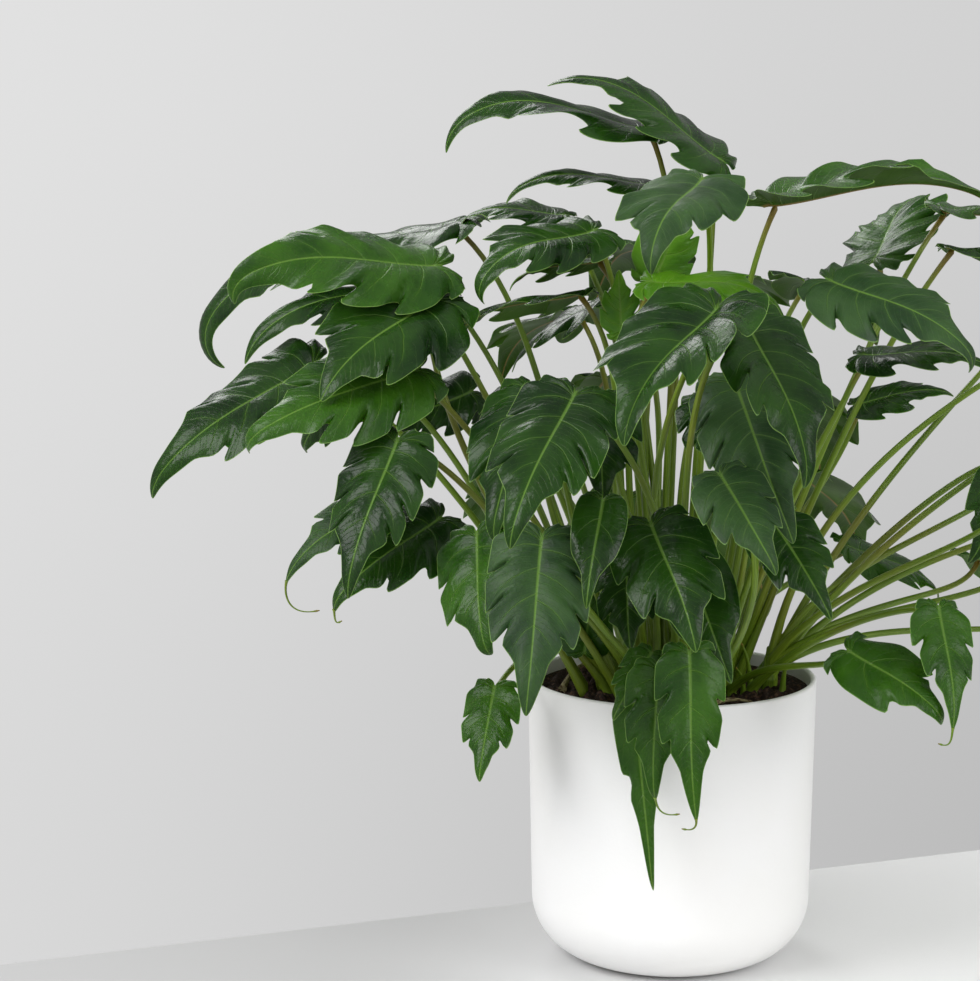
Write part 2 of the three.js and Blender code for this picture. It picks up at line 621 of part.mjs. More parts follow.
// A free place for a stalk's foot, on the bearing of its knee, stepped round until it clears the others
function chooseFoot(knee, feet) {
  const radius = THREE.MathUtils.clamp(Math.hypot(knee.x, knee.y) * FOOT_REACH, FOOT_NEAREST, FOOT_FARTHEST);
  const bearing = Math.atan2(knee.y, knee.x);
  for (let round = 0; round < FOOT_ROUNDS; round += 1) {
    for (let turn = 0; turn < FOOT_TURNS; turn += 1) {
      const reach = Math.min(radius + FOOT_OUT * round - FOOT_IN * turn, FOOT_FARTHEST);
      const angle = bearing + (turn - (FOOT_TURNS - 1) / 2) * FOOT_TURN * ((round + turn) % 2 ? 1 : -1);
      const [x, y] = [reach * Math.cos(angle), reach * Math.sin(angle)];
      const foot = { x, y, radius: STALK_FOOT_RADIUS, depth: FOOT_DEPTH };
      const room = (other) => Math.hypot(other.x - foot.x, other.y - foot.y) - other.radius - foot.radius;
      if (feet.every((other) => room(other) > FOOT_WALL)) {
        return foot;
      }
    }
  }
  throw new Error('no free place for a stalk');
}

// Where a stalk's curve starts: just above its own hole in the soil
function soilFoot(leaf, feet) {
  const foot = chooseFoot(leaf.blade.knee, feet);
  feet.push(foot);
  return new THREE.Vector3(foot.x, foot.y, SOIL_TOP + FOOT_RISE);
}

// Where a stalk on a stem starts: inside the stem, towards its knee, each higher than the last
function stemFoot({ stem, share, blade }) {
  const bearing = Math.atan2(blade.knee.y - stem.y, blade.knee.x - stem.x);
  const inset = STEM_INSET * STEM_RADIUS;
  const height = stem.height * THREE.MathUtils.lerp(STEM_LOWEST, STEM_HIGHEST, share);
  return new THREE.Vector3(inset * Math.cos(bearing), inset * Math.sin(bearing), SOIL_TOP + height)
    .add(new THREE.Vector3(stem.x, stem.y, 0));
}

// Points along a stalk's curve, and along the straight steps that its solid takes
function stalkSamples(path) {
  const samples = path.getSpacedPoints(Math.ceil(path.getLength() / SAMPLE_STEP));
  const corners = path.getPoints(STALK_STEPS);
  corners.slice(1).forEach((corner, step) => {
    const parts = Math.ceil(corner.distanceTo(corners[step]) / SAMPLE_STEP);
    for (let part = 0; part < parts; part += 1) {
      samples.push(corners[step].clone().lerp(corner, part / parts));
    }
  });
  return samples;
}

// Points round a stem that keep the stalks of other leaves off it
function stemSamples(stem) {
  const samples = [];
  const reach = STEM_RADIUS - SAMPLE_INSET;
  for (let z = SOIL_TOP; z < SOIL_TOP + stem.height + STALK_GAP; z += SAMPLE_STEP) {
    for (let corner = 0; corner < STEM_SIDES; corner += 1) {
      const angle = 2 * Math.PI * corner / STEM_SIDES;
      samples.push(new THREE.Vector3(stem.x + reach * Math.cos(angle), stem.y + reach * Math.sin(angle), z));
    }
  }
  return samples;
}

// A stem grown together with its leaves
function makeStem(stem, leaves) {
  const length = stem.height + STEM_DEPTH;
  const post = new THREE.CylinderGeometry(STEM_TAPER * STEM_RADIUS, STEM_RADIUS, length, STEM_SIDES);
  post.rotateX(Math.PI / 2);
  post.translate(stem.x, stem.y, SOIL_TOP - STEM_DEPTH + length / 2);
  const parts = leaves.map((leaf) => toSolid(toGeometry(makeLeafSolid(leaf.blade, leaf.path))));
  return fromSolid(parts.reduce((whole, part) => whole.add(part), toSolid(post)));
}

// A profile of radius and height turned round the upright axis
function latheSolid(profile) {
  const geometry = new THREE.LatheGeometry(profile.map(([r, z]) => new THREE.Vector2(r, z)), POT_SIDES);
  geometry.rotateX(Math.PI / 2);
  return geometry;
}

// Points on a circle about a centre, from one angle to another in degrees
function arc(centre, radius, from, to, steps) {
  const points = [];
  for (let step = 0; step <= steps; step += 1) {
    const angle = THREE.MathUtils.degToRad(THREE.MathUtils.lerp(from, to, step / steps));
    points.push([centre[0] + radius * Math.cos(angle), centre[1] + radius * Math.sin(angle)]);
  }
  return points;
}

function makePot() {
  const foot = POT_RADIUS - POT_TAPER;
  const inside = foot - POT_WALL;
  const inner = POT_CORNER - POT_WALL;
  const profile = [
    [0, 0],
    ...arc([foot - POT_CORNER, POT_CORNER], POT_CORNER, -90, 0, 5),
    ...arc([POT_RADIUS - RIM_ROUND, POT_HEIGHT - RIM_ROUND], RIM_ROUND, 0, 90, 1),
    ...arc([CAVITY_RADIUS + RIM_ROUND, POT_HEIGHT - RIM_ROUND], RIM_ROUND, 90, 180, 1),
    ...arc([inside - inner, POT_FLOOR + inner], inner, 0, -90, 3),
    [0, POT_FLOOR],
  ];
  return latheSolid(profile);
}

// The soil fills the pot, with a plain hole for each stalk and stem.
function makeSoil(holes) {
  const inside = POT_RADIUS - POT_TAPER - POT_WALL - FIT_GAP;
  const corner = POT_CORNER - POT_WALL;
  const lift = POT_FLOOR + FIT_GAP;
  const flare = (CAVITY_RADIUS - FIT_GAP - inside) * (SOIL_TOP - POT_CORNER) / (POT_HEIGHT - POT_CORNER);
  const profile = [
    [0, lift],
    ...arc([inside - corner, lift + corner], corner, -90, 0, 3),
    [inside + flare - FIT_GAP, SOIL_TOP],
    [0, SOIL_TOP],
  ];
  let soil = toSolid(latheSolid(profile));
  for (const { x, y, radius, depth } of holes) {
    const wide = radius / Math.cos(Math.PI / HOLE_SIDES) + FIT_GAP;
    const long = 2 * (depth + FIT_GAP);
    const hole = new THREE.CylinderGeometry(wide, wide, long, HOLE_SIDES);
    hole.rotateX(Math.PI / 2);
    hole.translate(x, y, SOIL_TOP);
    soil = soil.subtract(toSolid(hole));
  }
  return fromSolid(soil);
}

const plant = new THREE.Group();

function addMesh(name, geometry, material) {
  const mesh = new THREE.Mesh(geometry, material);
  mesh.name = name;
  plant.add(mesh);
}

// Every leaf in one list: those in the soil, then those on each stem
const leaves = LEAVES.map(([name, ...spec]) => ({ name, spec }));
const stems = STEMS.map(([name, [x, y], height, specs]) => {
  const stem = { name, x, y, height, radius: STEM_RADIUS, depth: STEM_DEPTH };
  specs.forEach((spec, index) => leaves.push({ name, spec, stem, share: index / (specs.length - 1) }));
  return stem;
});

// Place every blade clear of those before it
const bladesTaken = new Taken(LEAF_GAP);
leaves.forEach((leaf, index) => {
  const placesOf = (shift) => bladeSamples(makeBlade(leaf.spec, shift, index));
  const found = firstClear(BLADE_SHIFTS, placesOf, [bladesTaken]);
  leaf.blade = makeBlade(leaf.spec, found.choice, index);
  bladesTaken.add(found.places);
});

// Lead every stalk between the blades, the stems and the stalks before it
function leadStalks(order) {
  const feet = [...stems];
  const taken = new Taken(STALK_GAP);
  stems.forEach((stem) => taken.add(stemSamples(stem)));
  for (const leaf of order) {
    const start = leaf.stem ? stemFoot(leaf) : soilFoot(leaf, feet);
    const skip = leaf.stem ? STEM_RADIUS + 2 * STALK_GAP : 0;
    const found = firstClear(STALK_BENDS, (bend) => {
      return stalkSamples(stalkPath(leaf.blade, start, bend))
        .filter((place) => place.z > SOIL_TOP + POT_GAP)
        .filter((place) => place.distanceTo(start) > skip && place.distanceTo(leaf.blade.knee) > KNEE_CLEAR);
    }, [bladesTaken, taken]);
    leaf.path = stalkPath(leaf.blade, start, found.choice);
    leaf.stalkClashes = found.clashes;
    taken.add(found.places);
  }
  return feet;
}

// Stalks that found no clear way go first in the next attempt.
let order = [...leaves];
let feet = leadStalks(order);
for (let attempt = 1; attempt < LEAD_ATTEMPTS && order.some((leaf) => leaf.stalkClashes); attempt += 1) {
  order = [...order.filter((leaf) => leaf.stalkClashes), ...order.filter((leaf) => !leaf.stalkClashes)];
  feet = leadStalks(order);
}

addMesh('pot', makePot(), CERAMIC);
addMesh('soil', makeSoil(feet), PEAT);
for (const leaf of leaves.filter((one) => !one.stem)) {
  addMesh(leaf.name, toGeometry(makeLeafSolid(leaf.blade, leaf.path)), GREEN);
}
for (const stem of stems) {
  addMesh(stem.name, makeStem(stem, leaves.filter((leaf) => leaf.stem === stem)), GREEN);
}

export default plant;
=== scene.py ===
"""A potted philodendron: a white ceramic pot, peat soil, and long-stalked lobed leaves round three stems.

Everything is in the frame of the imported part, +Z up, whose origin is the middle of the pot's foot. Shapes
are worked out in millimetres and become metres in their meshes.
"""

import math
from collections import namedtuple

import bpy
import numpy as np
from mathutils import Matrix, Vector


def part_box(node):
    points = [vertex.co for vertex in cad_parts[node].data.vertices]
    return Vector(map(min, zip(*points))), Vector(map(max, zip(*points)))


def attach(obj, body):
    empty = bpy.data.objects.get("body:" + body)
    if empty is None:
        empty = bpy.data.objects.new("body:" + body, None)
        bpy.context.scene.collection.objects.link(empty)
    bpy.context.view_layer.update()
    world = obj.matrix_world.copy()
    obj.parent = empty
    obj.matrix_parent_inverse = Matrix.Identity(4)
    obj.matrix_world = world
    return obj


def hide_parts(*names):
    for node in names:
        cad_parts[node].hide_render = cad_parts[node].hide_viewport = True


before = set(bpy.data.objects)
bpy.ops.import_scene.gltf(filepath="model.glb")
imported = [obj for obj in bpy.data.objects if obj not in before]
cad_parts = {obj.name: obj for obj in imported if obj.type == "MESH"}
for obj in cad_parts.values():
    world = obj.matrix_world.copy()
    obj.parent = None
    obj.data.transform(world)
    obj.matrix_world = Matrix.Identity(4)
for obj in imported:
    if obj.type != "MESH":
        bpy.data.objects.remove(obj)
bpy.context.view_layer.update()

bl_info = {
    "name": "Potted philodendron",
    "version": (1, 0, 0),
    "blender": (4, 5, 0),
    "location": "3D View > Sidebar > Potted plant",
    "description": "Makes a potted philodendron: its pot, its soil and its lobed leaves",
    "category": "Add Mesh",
}


MM = 0.001

# How near counts as on, and how small counts as nothing, in millimetres
NEAR = 0.1
SAME = 1e-6

# The point that the leaves' places were sighted from, against the upright plane through the pot's middle
EYE = np.array([0.0, -2400.0, 778.0])

# Which way a blade's upper side faces
LEVEL = (0, -0.15, 1)
TILTED = (0, -0.5, 0.85)
SLOPED = (0, -0.72, 0.7)
HANGING = (0, -0.95, 0.3)
TURNED_BACK = (0, 0.3, 0.95)

# Each leaf: its node, its knee and its tip as (across, up, depth) in millimetres, its facing, how wide it
# is for its length, how many cuts a side has, how much the blade arches and folds up, and its shade of
# green, of which the greyer one paints a sheen into the blade's colour
LEAVES = [
    ("leaf_left_1", (-208, 602, -45), (-396, 576, -95), TILTED, 0.32, 4, 0.45, 0.0, "mid"),
    ("leaf_left_2", (-190, 638, 45), (-423, 512, 60), (0, -0.05, 1), 0.26, 4, 0.55, 0.0, "deep"),
    ("leaf_left_3", (-205, 586, 10), (-375, 519, 0), LEVEL, 0.28, 3, 0.45, 0.0, "deep"),
    ("leaf_left_4", (-209, 572, -90), (-306, 486, -175), SLOPED, 0.42, 3, 0.3, 0.0, "deep"),
    ("leaf_left_5", (-312, 516, -20), (-461, 399, -60), TILTED, 0.28, 4, 0.4, 0.0, "deep"),
    ("leaf_left_6", (-225, 512, -120), (-383, 441, -180), SLOPED, 0.31, 4, 0.35, 0.0, "mid"),
    ("leaf_left_7", (-177, 493, 60), (-245, 453, 80), SLOPED, 0.38, 3, 0.3, 0.0, "deep"),
    ("leaf_left_8", (-147, 492, 100), (-193, 461, 120), TILTED, 0.3, 2, 0.2, 0.0, "deep"),
    ("leaf_left_9", (-284, 499, 40), (-323, 438, 60), SLOPED, 0.38, 3, 0.2, 0.0, "deep"),
    ("leaf_left_10", (-240, 448, -150), (-285, 311, -205), (-0.3, -0.9, 0.3), 0.32, 4, 0.25, 0.0, "deep"),
    ("leaf_left_11", (-241, 402, -60), (-339, 325, -85), (-0.3, -0.7, 0.6), 0.27, 3, 0.4, 0.0, "dusky"),
    ("leaf_left_12", (-205, 381, -120), (-301, 301, -175), (-0.2, -0.7, 0.7), 0.36, 3, 0.3, 0.0, "deep"),
    ("leaf_left_13", (-170, 367, -170), (-161, 258, -225), (-0.4, -0.85, 0.3), 0.4, 3, 0.25, 0.0, "mid"),
    ("leaf_left_14", (-155, 232, -110), (-169, 149, -150), (-0.3, -0.9, 0.3), 0.34, 3, 0.15, 0.0, "mid"),
    ("leaf_top_1", (-23, 718, 0), (-206, 705, -12), LEVEL, 0.28, 3, 0.6, 0.0, "deep"),
    ("leaf_top_2", (33, 695, 35), (-111, 758, 40), (0.1, -0.3, 0.95), 0.32, 4, 0.5, 0.0, "deep"),
    ("leaf_top_3", (20, 675, -125), (-24, 596, -215), (-0.2, -0.7, 0.6), 0.42, 3, 0.55, 0.0, "dusky"),
    ("leaf_top_4", (-23, 672, 30), (-148, 659, 20), LEVEL, 0.24, 3, 0.45, 0.0, "deep"),
    ("leaf_top_5", (-17, 595, -40), (11, 659, -30), (0.3, -0.9, 0.2), 0.42, 3, 0.2, 0.0, "young"),
    ("leaf_top_6", (-18, 589, -85), (95, 560, -100), (0, -0.3, 0.95), 0.34, 3, 0.5, 0.0, "young"),
    ("leaf_top_7", (-46, 548, -60), (-49, 600, -50), (-0.2, -0.9, 0.3), 0.38, 3, 0.15, 0.0, "young"),
    ("leaf_top_8", (-72, 632, -60), (-176, 568, -115), (0, -0.4, 0.9), 0.36, 4, 0.65, 0.0, "deep"),
    ("leaf_top_9", (-99, 646, 70), (-186, 640, 80), (0, -0.25, 1), 0.38, 3, 0.4, 0.0, "deep"),
    ("leaf_top_10", (-82, 579, -20), (-203, 521, -25), (0, 0.2, 1), 0.32, 3, 0.5, 0.0, "deep"),
    ("leaf_top_11", (-64, 574, 70), (-141, 512, 85), LEVEL, 0.38, 3, 0.3, 0.0, "deep"),
    ("leaf_top_12", (-65, 607, 5), (-145, 584, -15), TURNED_BACK, 0.36, 3, 0.3, 0.0, "mid"),
    ("leaf_middle_1", (-87, 490, -195), (-144, 357, -290), (-0.15, -0.8, 0.55), 0.34, 4, 0.35, 0.0, "deep"),
    ("leaf_middle_2", (-124, 494, -115), (-160, 361, -205), (-0.3, -0.8, 0.5), 0.32, 4, 0.25, 0.0, "deep"),
    ("leaf_middle_3", (-66, 484, -100), (-61, 399, -140), HANGING, 0.44, 3, 0.25, 0.0, "deep"),
    ("leaf_middle_4", (-114, 364, -220), (-128, 208, -285), (-0.1, -0.9, 0.4), 0.32, 4, 0.25, 0.0, "dusky"),
    ("leaf_middle_5", (-61, 399, -205), (-75, 304, -245), HANGING, 0.26, 0, 0.2, 0.0, "deep"),
    ("leaf_middle_6", (34, 565, -235), (-45, 449, -325), (-0.5, -0.7, 0.5), 0.42, 4, 0.4, 0.25, "deep"),
    ("leaf_middle_7", (62, 552, -215), (116, 412, -285), (0.45, -0.75, 0.5), 0.34, 4, 0.35, 0.15, "deep"),
    ("leaf_middle_8", (52, 502, -150), (105, 363, -225), HANGING, 0.32, 4, 0.25, 0.0, "dusky"),
    ("leaf_middle_9", (41, 422, -200), (92, 336, -255), SLOPED, 0.34, 3, 0.3, 0.0, "dusky"),
    ("leaf_middle_10", (85, 385, -135), (138, 298, -190), SLOPED, 0.33, 3, 0.3, 0.0, "deep"),
    ("leaf_middle_11", (26, 488, -90), (40, 425, -130), HANGING, 0.42, 3, 0.25, 0.0, "deep"),
    ("leaf_front_1", (-18, 377, -190), (21, 268, -250), (0, -0.9, 0.45), 0.4, 3, 0.25, 0.0, "deep"),
    ("leaf_front_2", (13, 345, -145), (52, 240, -190), HANGING, 0.32, 0, 0.2, 0.0, "deep"),
    ("leaf_front_3", (15, 265, -195), (23, 116, -218), (0.1, -0.95, 0.25), 0.23, 3, 0.2, 0.0, "mid"),
    ("leaf_front_4", (-12, 251, -180), (-14, 132, -202), (-0.1, -0.95, 0.25), 0.27, 3, 0.2, 0.0, "mid"),
    ("leaf_front_5", (-34, 232, -142), (-15, 49, -165), (-0.1, -0.95, 0.2), 0.12, 2, 0.08, 0.0, "mid"),
    ("leaf_front_6", (-19, 265, -155), (-52, 206, -182), (-0.3, -0.85, 0.4), 0.34, 3, 0.2, 0.0, "mid"),
    ("leaf_front_7", (-40, 345, -90), (-36, 268, -122), HANGING, 0.4, 3, 0.2, 0.0, "deep"),
    ("leaf_front_8", (-76, 269, -60), (-72, 322, -75), (0, -0.95, 0.2), 0.42, 0, 0.15, 0.0, "mid"),
    ("leaf_right_1", (83, 655, -30), (281, 648, -55), (0, -0.05, 1), 0.34, 4, 0.4, 0.35, "mid"),
    ("leaf_right_2", (226, 650, 60), (348, 610, 55), (0, 0, 1), 0.36, 4, 0.45, 0.2, "mid"),
    ("leaf_right_3", (169, 612, 60), (209, 664, 150), (0.1, 0.55, 0.8), 0.5, 4, 0.3, 0.0, "mid"),
    ("leaf_right_4", (133, 590, -120), (263, 515, -170), (0.1, -0.5, 0.85), 0.34, 4, 0.45, 0.0, "dusky"),
    ("leaf_right_5", (163, 528, -60), (276, 512, -90), (0, -0.25, 1), 0.34, 3, 0.4, 0.0, "deep"),
    ("leaf_right_6", (157, 486, 45), (238, 496, 30), (0, -0.4, 0.9), 0.36, 3, 0.3, 0.0, "deep"),
    ("leaf_right_7", (233, 619, 10), (324, 589, -10), (0, 0.15, 1), 0.36, 3, 0.4, 0.0, "deep"),
    ("leaf_right_8", (155, 269, -150), (240, 207, -195), (0.2, -0.75, 0.65), 0.36, 2, 0.35, 0.0, "mid"),
    ("leaf_right_9", (229, 308, -140), (244, 202, -185), (0.35, -0.9, 0.2), 0.28, 3, 0.2, 0.0, "mid"),
    ("leaf_right_10", (287, 431, -20), (253, 346, -40), (0.3, -0.8, 0.4), 0.32, 2, 0.2, 0.0, "deep"),
]

# Leaves that share a short stem: the stem's node, its place in the soil and its height in millimetres,
# then its leaves
STEMS = [
    ("stem_right", (84, 12), 34, [
        ((345, 492, -40), (455, 436, -70), (0.3, -0.4, 0.85), 0.34, 3, 0.4, 0.0, "deep"),
        ((352, 398, 30), (440, 320, 40), (0.5, -0.3, 0.8), 0.34, 3, 0.4, 0.0, "mid"),
        ((318, 300, 60), (388, 226, 80), (0.6, -0.3, 0.7), 0.36, 3, 0.35, 0.0, "deep"),
        ((296, 560, 120), (400, 520, 160), (0.3, 0.2, 0.9), 0.34, 2, 0.4, 0.0, "deep"),
        ((304, 350, -50), (396, 290, -90), (0.4, -0.4, 0.8), 0.34, 3, 0.35, 0.0, "mid"),
        ((318, 442, 110), (410, 400, 160), (0.4, 0.1, 0.9), 0.34, 2, 0.35, 0.0, "deep"),
        ((288, 400, -110), (372, 345, -165), (0.3, -0.6, 0.7), 0.34, 2, 0.35, 0.0, "deep"),
        ((262, 352, 130), (330, 290, 190), (0.5, 0.3, 0.8), 0.34, 2, 0.35, 0.0, "mid"),
        ((326, 545, -20), (412, 500, -35), (0.2, -0.2, 0.95), 0.34, 2, 0.4, 0.0, "deep"),
    ]),
    ("stem_back_right", (38, 76), 36, [
        ((40, 590, 180), (62, 535, 320), (0.1, 0.5, 0.85), 0.38, 3, 0.45, 0.0, "deep"),
        ((95, 500, 200), (125, 420, 310), (0.3, 0.75, 0.6), 0.38, 3, 0.35, 0.0, "deep"),
        ((60, 400, 190), (80, 300, 270), (0.1, 0.9, 0.4), 0.4, 2, 0.3, 0.0, "dusky"),
        ((152, 362, 105), (232, 318, 135), (0.2, -0.3, 0.9), 0.36, 3, 0.35, 0.0, "mid"),
        ((112, 590, 125), (172, 538, 225), (0.4, 0.4, 0.8), 0.38, 3, 0.4, 0.0, "deep"),
        ((110, 425, 160), (160, 350, 250), (0.5, 0.7, 0.5), 0.38, 2, 0.35, 0.0, "deep"),
    ]),
    ("stem_back_left", (-42, 74), 36, [
        ((-30, 620, 160), (-70, 570, 300), (-0.1, 0.5, 0.85), 0.38, 3, 0.45, 0.0, "mid"),
        ((-60, 505, 190), (-100, 430, 300), (-0.3, 0.75, 0.6), 0.38, 3, 0.35, 0.0, "deep"),
        ((-40, 400, 190), (-60, 300, 260), (-0.1, 0.9, 0.4), 0.4, 2, 0.3, 0.0, "deep"),
        ((-95, 370, 120), (-130, 280, 180), (-0.5, 0.6, 0.6), 0.38, 2, 0.35, 0.0, "dusky"),
        ((-85, 565, 175), (-150, 505, 275), (-0.4, 0.5, 0.75), 0.38, 3, 0.4, 0.0, "deep"),
        ((-120, 440, 175), (-165, 352, 265), (-0.5, 0.7, 0.5), 0.38, 3, 0.35, 0.0, "deep"),
    ]),
]

# The numbers of a blade repeat the part's own form, so that a fine leaf lies where its node does. First,
# where its side lobes start and end, and where its ribs leave the midrib and at which angles, in degrees
LOBE_START = 0.17
LOBE_END = 0.58
PLAIN_LOBES = 4
BASAL_PHASES = 3
TIP_PHASE = 0.14
RIB_START = 0.18
ROOT_EASE = 1.15
RIB_ANGLE = 42.0
RIB_TURN = 138.0
RIB_FADE = 0.22
HEEL_SETTLED = 0.06
CURVE = 14.0
CURVE_FADE = 0.7

# A blade's arch, as shares of its length, and how far its tip curls down, in radians
BULGE_PLACE = 0.45
BULGE_HEIGHT = 0.15
HOOK_HEIGHT = 0.5
SIDE_BEND = 0.06
CURL_FROM = 0.8
CURL_LEAST = 0.2
CURL_MOST = 1.6

# How far the ribs reach, as shares of a blade's width, and how the tip narrows
SWELL_PLACE = 0.75
SWELL_FULLNESS = 0.8
TIP_NARROWING = 0.4
NARROW_FROM = 0.5
NARROW_TO = 0.8
STRAP_WIDTH = 0.5
STRAP_FROM = 0.4
TAPER_FROM = 0.66
TAPER_POWER = 0.68
HEEL_REACH = 0.15

# The cuts between the lobes, the teeth before them, and how far one side's lobes stand off the other's
SINUS_DEPTH = 0.36
CUT_DEPTHS = (0.55, 1.1)
NOTCH_FROM = 0.84
NOTCH_TO = 0.42
BASAL_NOTCH_PLACE = 1.6
BASAL_NOTCH_SHARE = 0.35
BASAL_NOTCH_REACH = 0.3
TOOTH_FROM = 0.4
TOOTH_TOP = 0.82
TOOTH_TO = 0.86
TOOTH_LEAN = 0.25
PHASE_OFFSET = 0.12
OFFSET_LEAST = 0.3
OFFSET_STARTS = (0.1, 0.2)
OFFSET_ENDS = (0.5, 0.7)

# A blade's fold, the droop of its edge, and its waves, as shares of its width
FOLD = 0.3
EDGE_DROOP = 0.12
WAVE_HEIGHT = 0.07
WAVE_COUNT = 2.6
WAVE_STEP = 0.37
LOBE_DROOP = 0.07
LOBE_PLACE = 0.75
LOBE_CALM = 0.7
QUILT = 0.022
VEIN_START = 0.5
VEIN_LEAN = 0.28
UNEVEN = 0.026

# The slow uneven waves of a blade: how many, and the least and most size, count, lean and start of each
SLOW_WAVES = 3
SLOW_LEAST = (0.4, 0.8, -0.7, 0)
SLOW_MOST = (1, 2.4, 0.7, 1)

# Half a blade's thickness, its thinner margin and its midrib below, in millimetres
BLADE_HALF = 0.3
MARGIN_THINNING = 0.5
MARGIN_POWER = 8
EDGE_CUT = 0.3
MIDRIB_DEPTH = 1.3
MIDRIB_WIDTH = 1.7
RIDGE_FADE = 0.8

# The grid of a fine blade: rows of ribs for each part of its length, and places along each rib
ROWS_A_PHASE = 20
BASAL_ROWS = 26
TIP_ROWS = 26
CROWDING = 1.5
RIB_PLACES = np.array([0, 0.02, 0.055, 0.12, 0.22, 0.34, 0.47, 0.6, 0.73, 0.85, 0.94, 0.985, 1.0])

# How far the tips of some leaves are twisted, in radians, and where on the blade the twist starts and ends
TWISTS = {
    "leaf_left_1": 0.9,
    "leaf_left_2": 0.9,
    "leaf_left_3": 0.7,
    "leaf_left_5": 0.4,
    "leaf_top_1": 0.6,
    "leaf_top_4": 0.5,
}
TWIST_FROM = 0.45
TWIST_TO = 0.9

# The threads that some tips end in: how long, in millimetres, and how far sideways, as a share of that
THREADS = {
    "leaf_left_11": (34.0, 0.75),
    "leaf_left_12": (13.0, 0.3),
    "leaf_front_3": (10.0, -0.9),
    "leaf_front_4": (19.0, 0.9),
    "leaf_right_9": (17.0, -0.5),
}
THREAD_RADII = (1.1, 0.45)
THREAD_ROOT = 2.0
THREAD_LEAD = 0.3
THREAD_HANG = 0.85
THREAD_END = 0.7

# A stalk's foot and knee, in millimetres, and how its arms bend, as shares of its span
SOIL_TOP = 238.0
SOIL_REACH = 100.0
FOOT_RISE = 3.0
FOOT_DEPTH = 14.0
SHEATH_DEPTH = 2.0
FOOT_IN_SOIL = 4.0
KNEE_DROP = 3.0
RIM_CLIMB = 295.0
ARM_SHARE = 0.3
ARM_LIMITS = (28, 90)
ARM_BELOW = 0.9
ARM_BEHIND = 0.4
LOW_PLACE = 0.3
LOW_RISE = 0.14
HIGH_BEND = 0.7

# A stalk's rings, its radii in millimetres, and how it swells at its sheath and under its blade
STALK_RINGS = 26
STALK_SIDES = 12
FINE_RADII = (3.4, 2.2)
SHEATH_SWELL = 0.45
SHEATH_FADE = 0.06
KNEE_SWELL = 0.5
KNEE_FADE = 0.035
KNEE_GAP = 0.2
END_WIDTH = 0.4

# A node's half thickness and stalk radii, in millimetres, and the places that are tried against its points
SOLID_HALF = 0.45
SOLID_FOOT = 2.9
SOLID_KNEE = 1.9
BLADE_SHIFTS = 6.0 * np.arange(-14, 15)
BEND_REACHES = (12, 24, 36, 48, 60, 75, 90, 110, 130, 150)
BEND_TURNS = 12
MATCHED_SHARES = (0.25, 0.5, 0.75)
MATCHED_POINTS = 5

# A short stem, in millimetres, and where on it its stalks start, as shares of its height and radius
STEM_RADIUS = 8.0
STEM_DEPTH = 18.0
STEM_INSET = 0.5
STEM_NARROWING = 0.75
STEM_NARROW_FROM = 0.45
DOME_HEIGHT = 3.0
SCAR_PITCH = 9.0
SCAR_HEIGHT = 0.5
SCAR_WIDTH = 0.9
STEM_RINGS = 40
STEM_SIDES = 40
STEM_SHARES = (0.3, 0.8)
STEM_FOOT = 0.4

# Young spears round the foot of a stem, as places from its axis and heights, in millimetres
SPEARS = ((-16.0, -18.0, 44.0), (-22.0, -32.0, 26.0), (12.0, -15.0, 34.0), (3.0, 16.0, 30.0))
SPEAR_RADII = (2.9, 0.7)
SPEAR_LEAN = 90.0
SPEAR_BEND = 0.8

# Dry sheaths that lie on the soil, as points along each one, in millimetres
SHEATHS = (
    ((-94, -28, 240), (-90, 0, 247), (-82, 30, 250), (-72, 62, 245)),
    ((30, -88, 240), (42, -80, 245), (52, -74, 245), (66, -66, 240)),
)
SHEATH_RADII = (2.6, 1.0)

# The soil's gap to the wall, its rounded lower edge, and the waves that its crumbs add up
SOIL_GAP = 0.15
SOIL_TAPER = 3.4
SOIL_CORNER = 49.0
SOIL_RINGS = 90
SOIL_SIDES = 200
SOIL_WAVES = 26
WAVES_A_MM = (0.02, 0.16)
LAST_OFFSET = 6.3
WAVE_SHARE = 0.22
CALM_AT_WALL = 14

# The pot's grid: how many sides, and rings on its foot, its floor, its walls and its rounded edges
POT_SIDES = 192
FOOT_RINGS = (20, 40)
FLOOR_RING = 30
WALL_RINGS = 24
FOOT_STEPS = 28
INSIDE_STEPS = 18
RIM_STEPS = 8

# Where the upper face, the underside and the stalk stand in a leaf's materials, and a stem's upper faces
UPPER_FINISH = 0
UNDER_FINISH = 1
STALK_FINISH = 2
STEM_FINISHES = {"deep": UPPER_FINISH, "mid": 3, "dusky": 4}

# The angle, in degrees, past which an edge is sharp, the seed of all that is random, and an empty list
SHARP_ANGLE = 60.0
SEED = 7
NO_POINTS = np.empty((0, 3))

# The camera: how far it looks down and to the left, in radians, and its focal length and the photo's width
# in pixels
CAMERA_PITCH = 0.1525
CAMERA_YAW = 0.066
CAMERA_FOCUS = 2810.0
PHOTO_WIDTH = 980.0

# The floor, in metres: the line where it ends in the photo, and where it turns and fades to other tones
FLOOR_LINE = 0.1894
FLOOR_SLOPE = 0.471
FLOOR_EDGE = 0.004
# The tone's turn is painted light: the floor runs lighter to the right, where the main light is weaker
FLOOR_TURNS = (-0.3, 0.25)
FLOOR_FAR = (1.0, 1.9)
FLOOR_FRONT = (-0.6, -0.12)
FLOOR_RINGS = (0.25, 0.5, 1, 2, 4, 8, 30, 200)
FLOOR_SIDES = 128

# Which parts of a direction, across and up, the backdrop's tones run over
TONES_ACROSS = (-0.3, 0.16)
TONES_UP = (-0.3, 0.02)

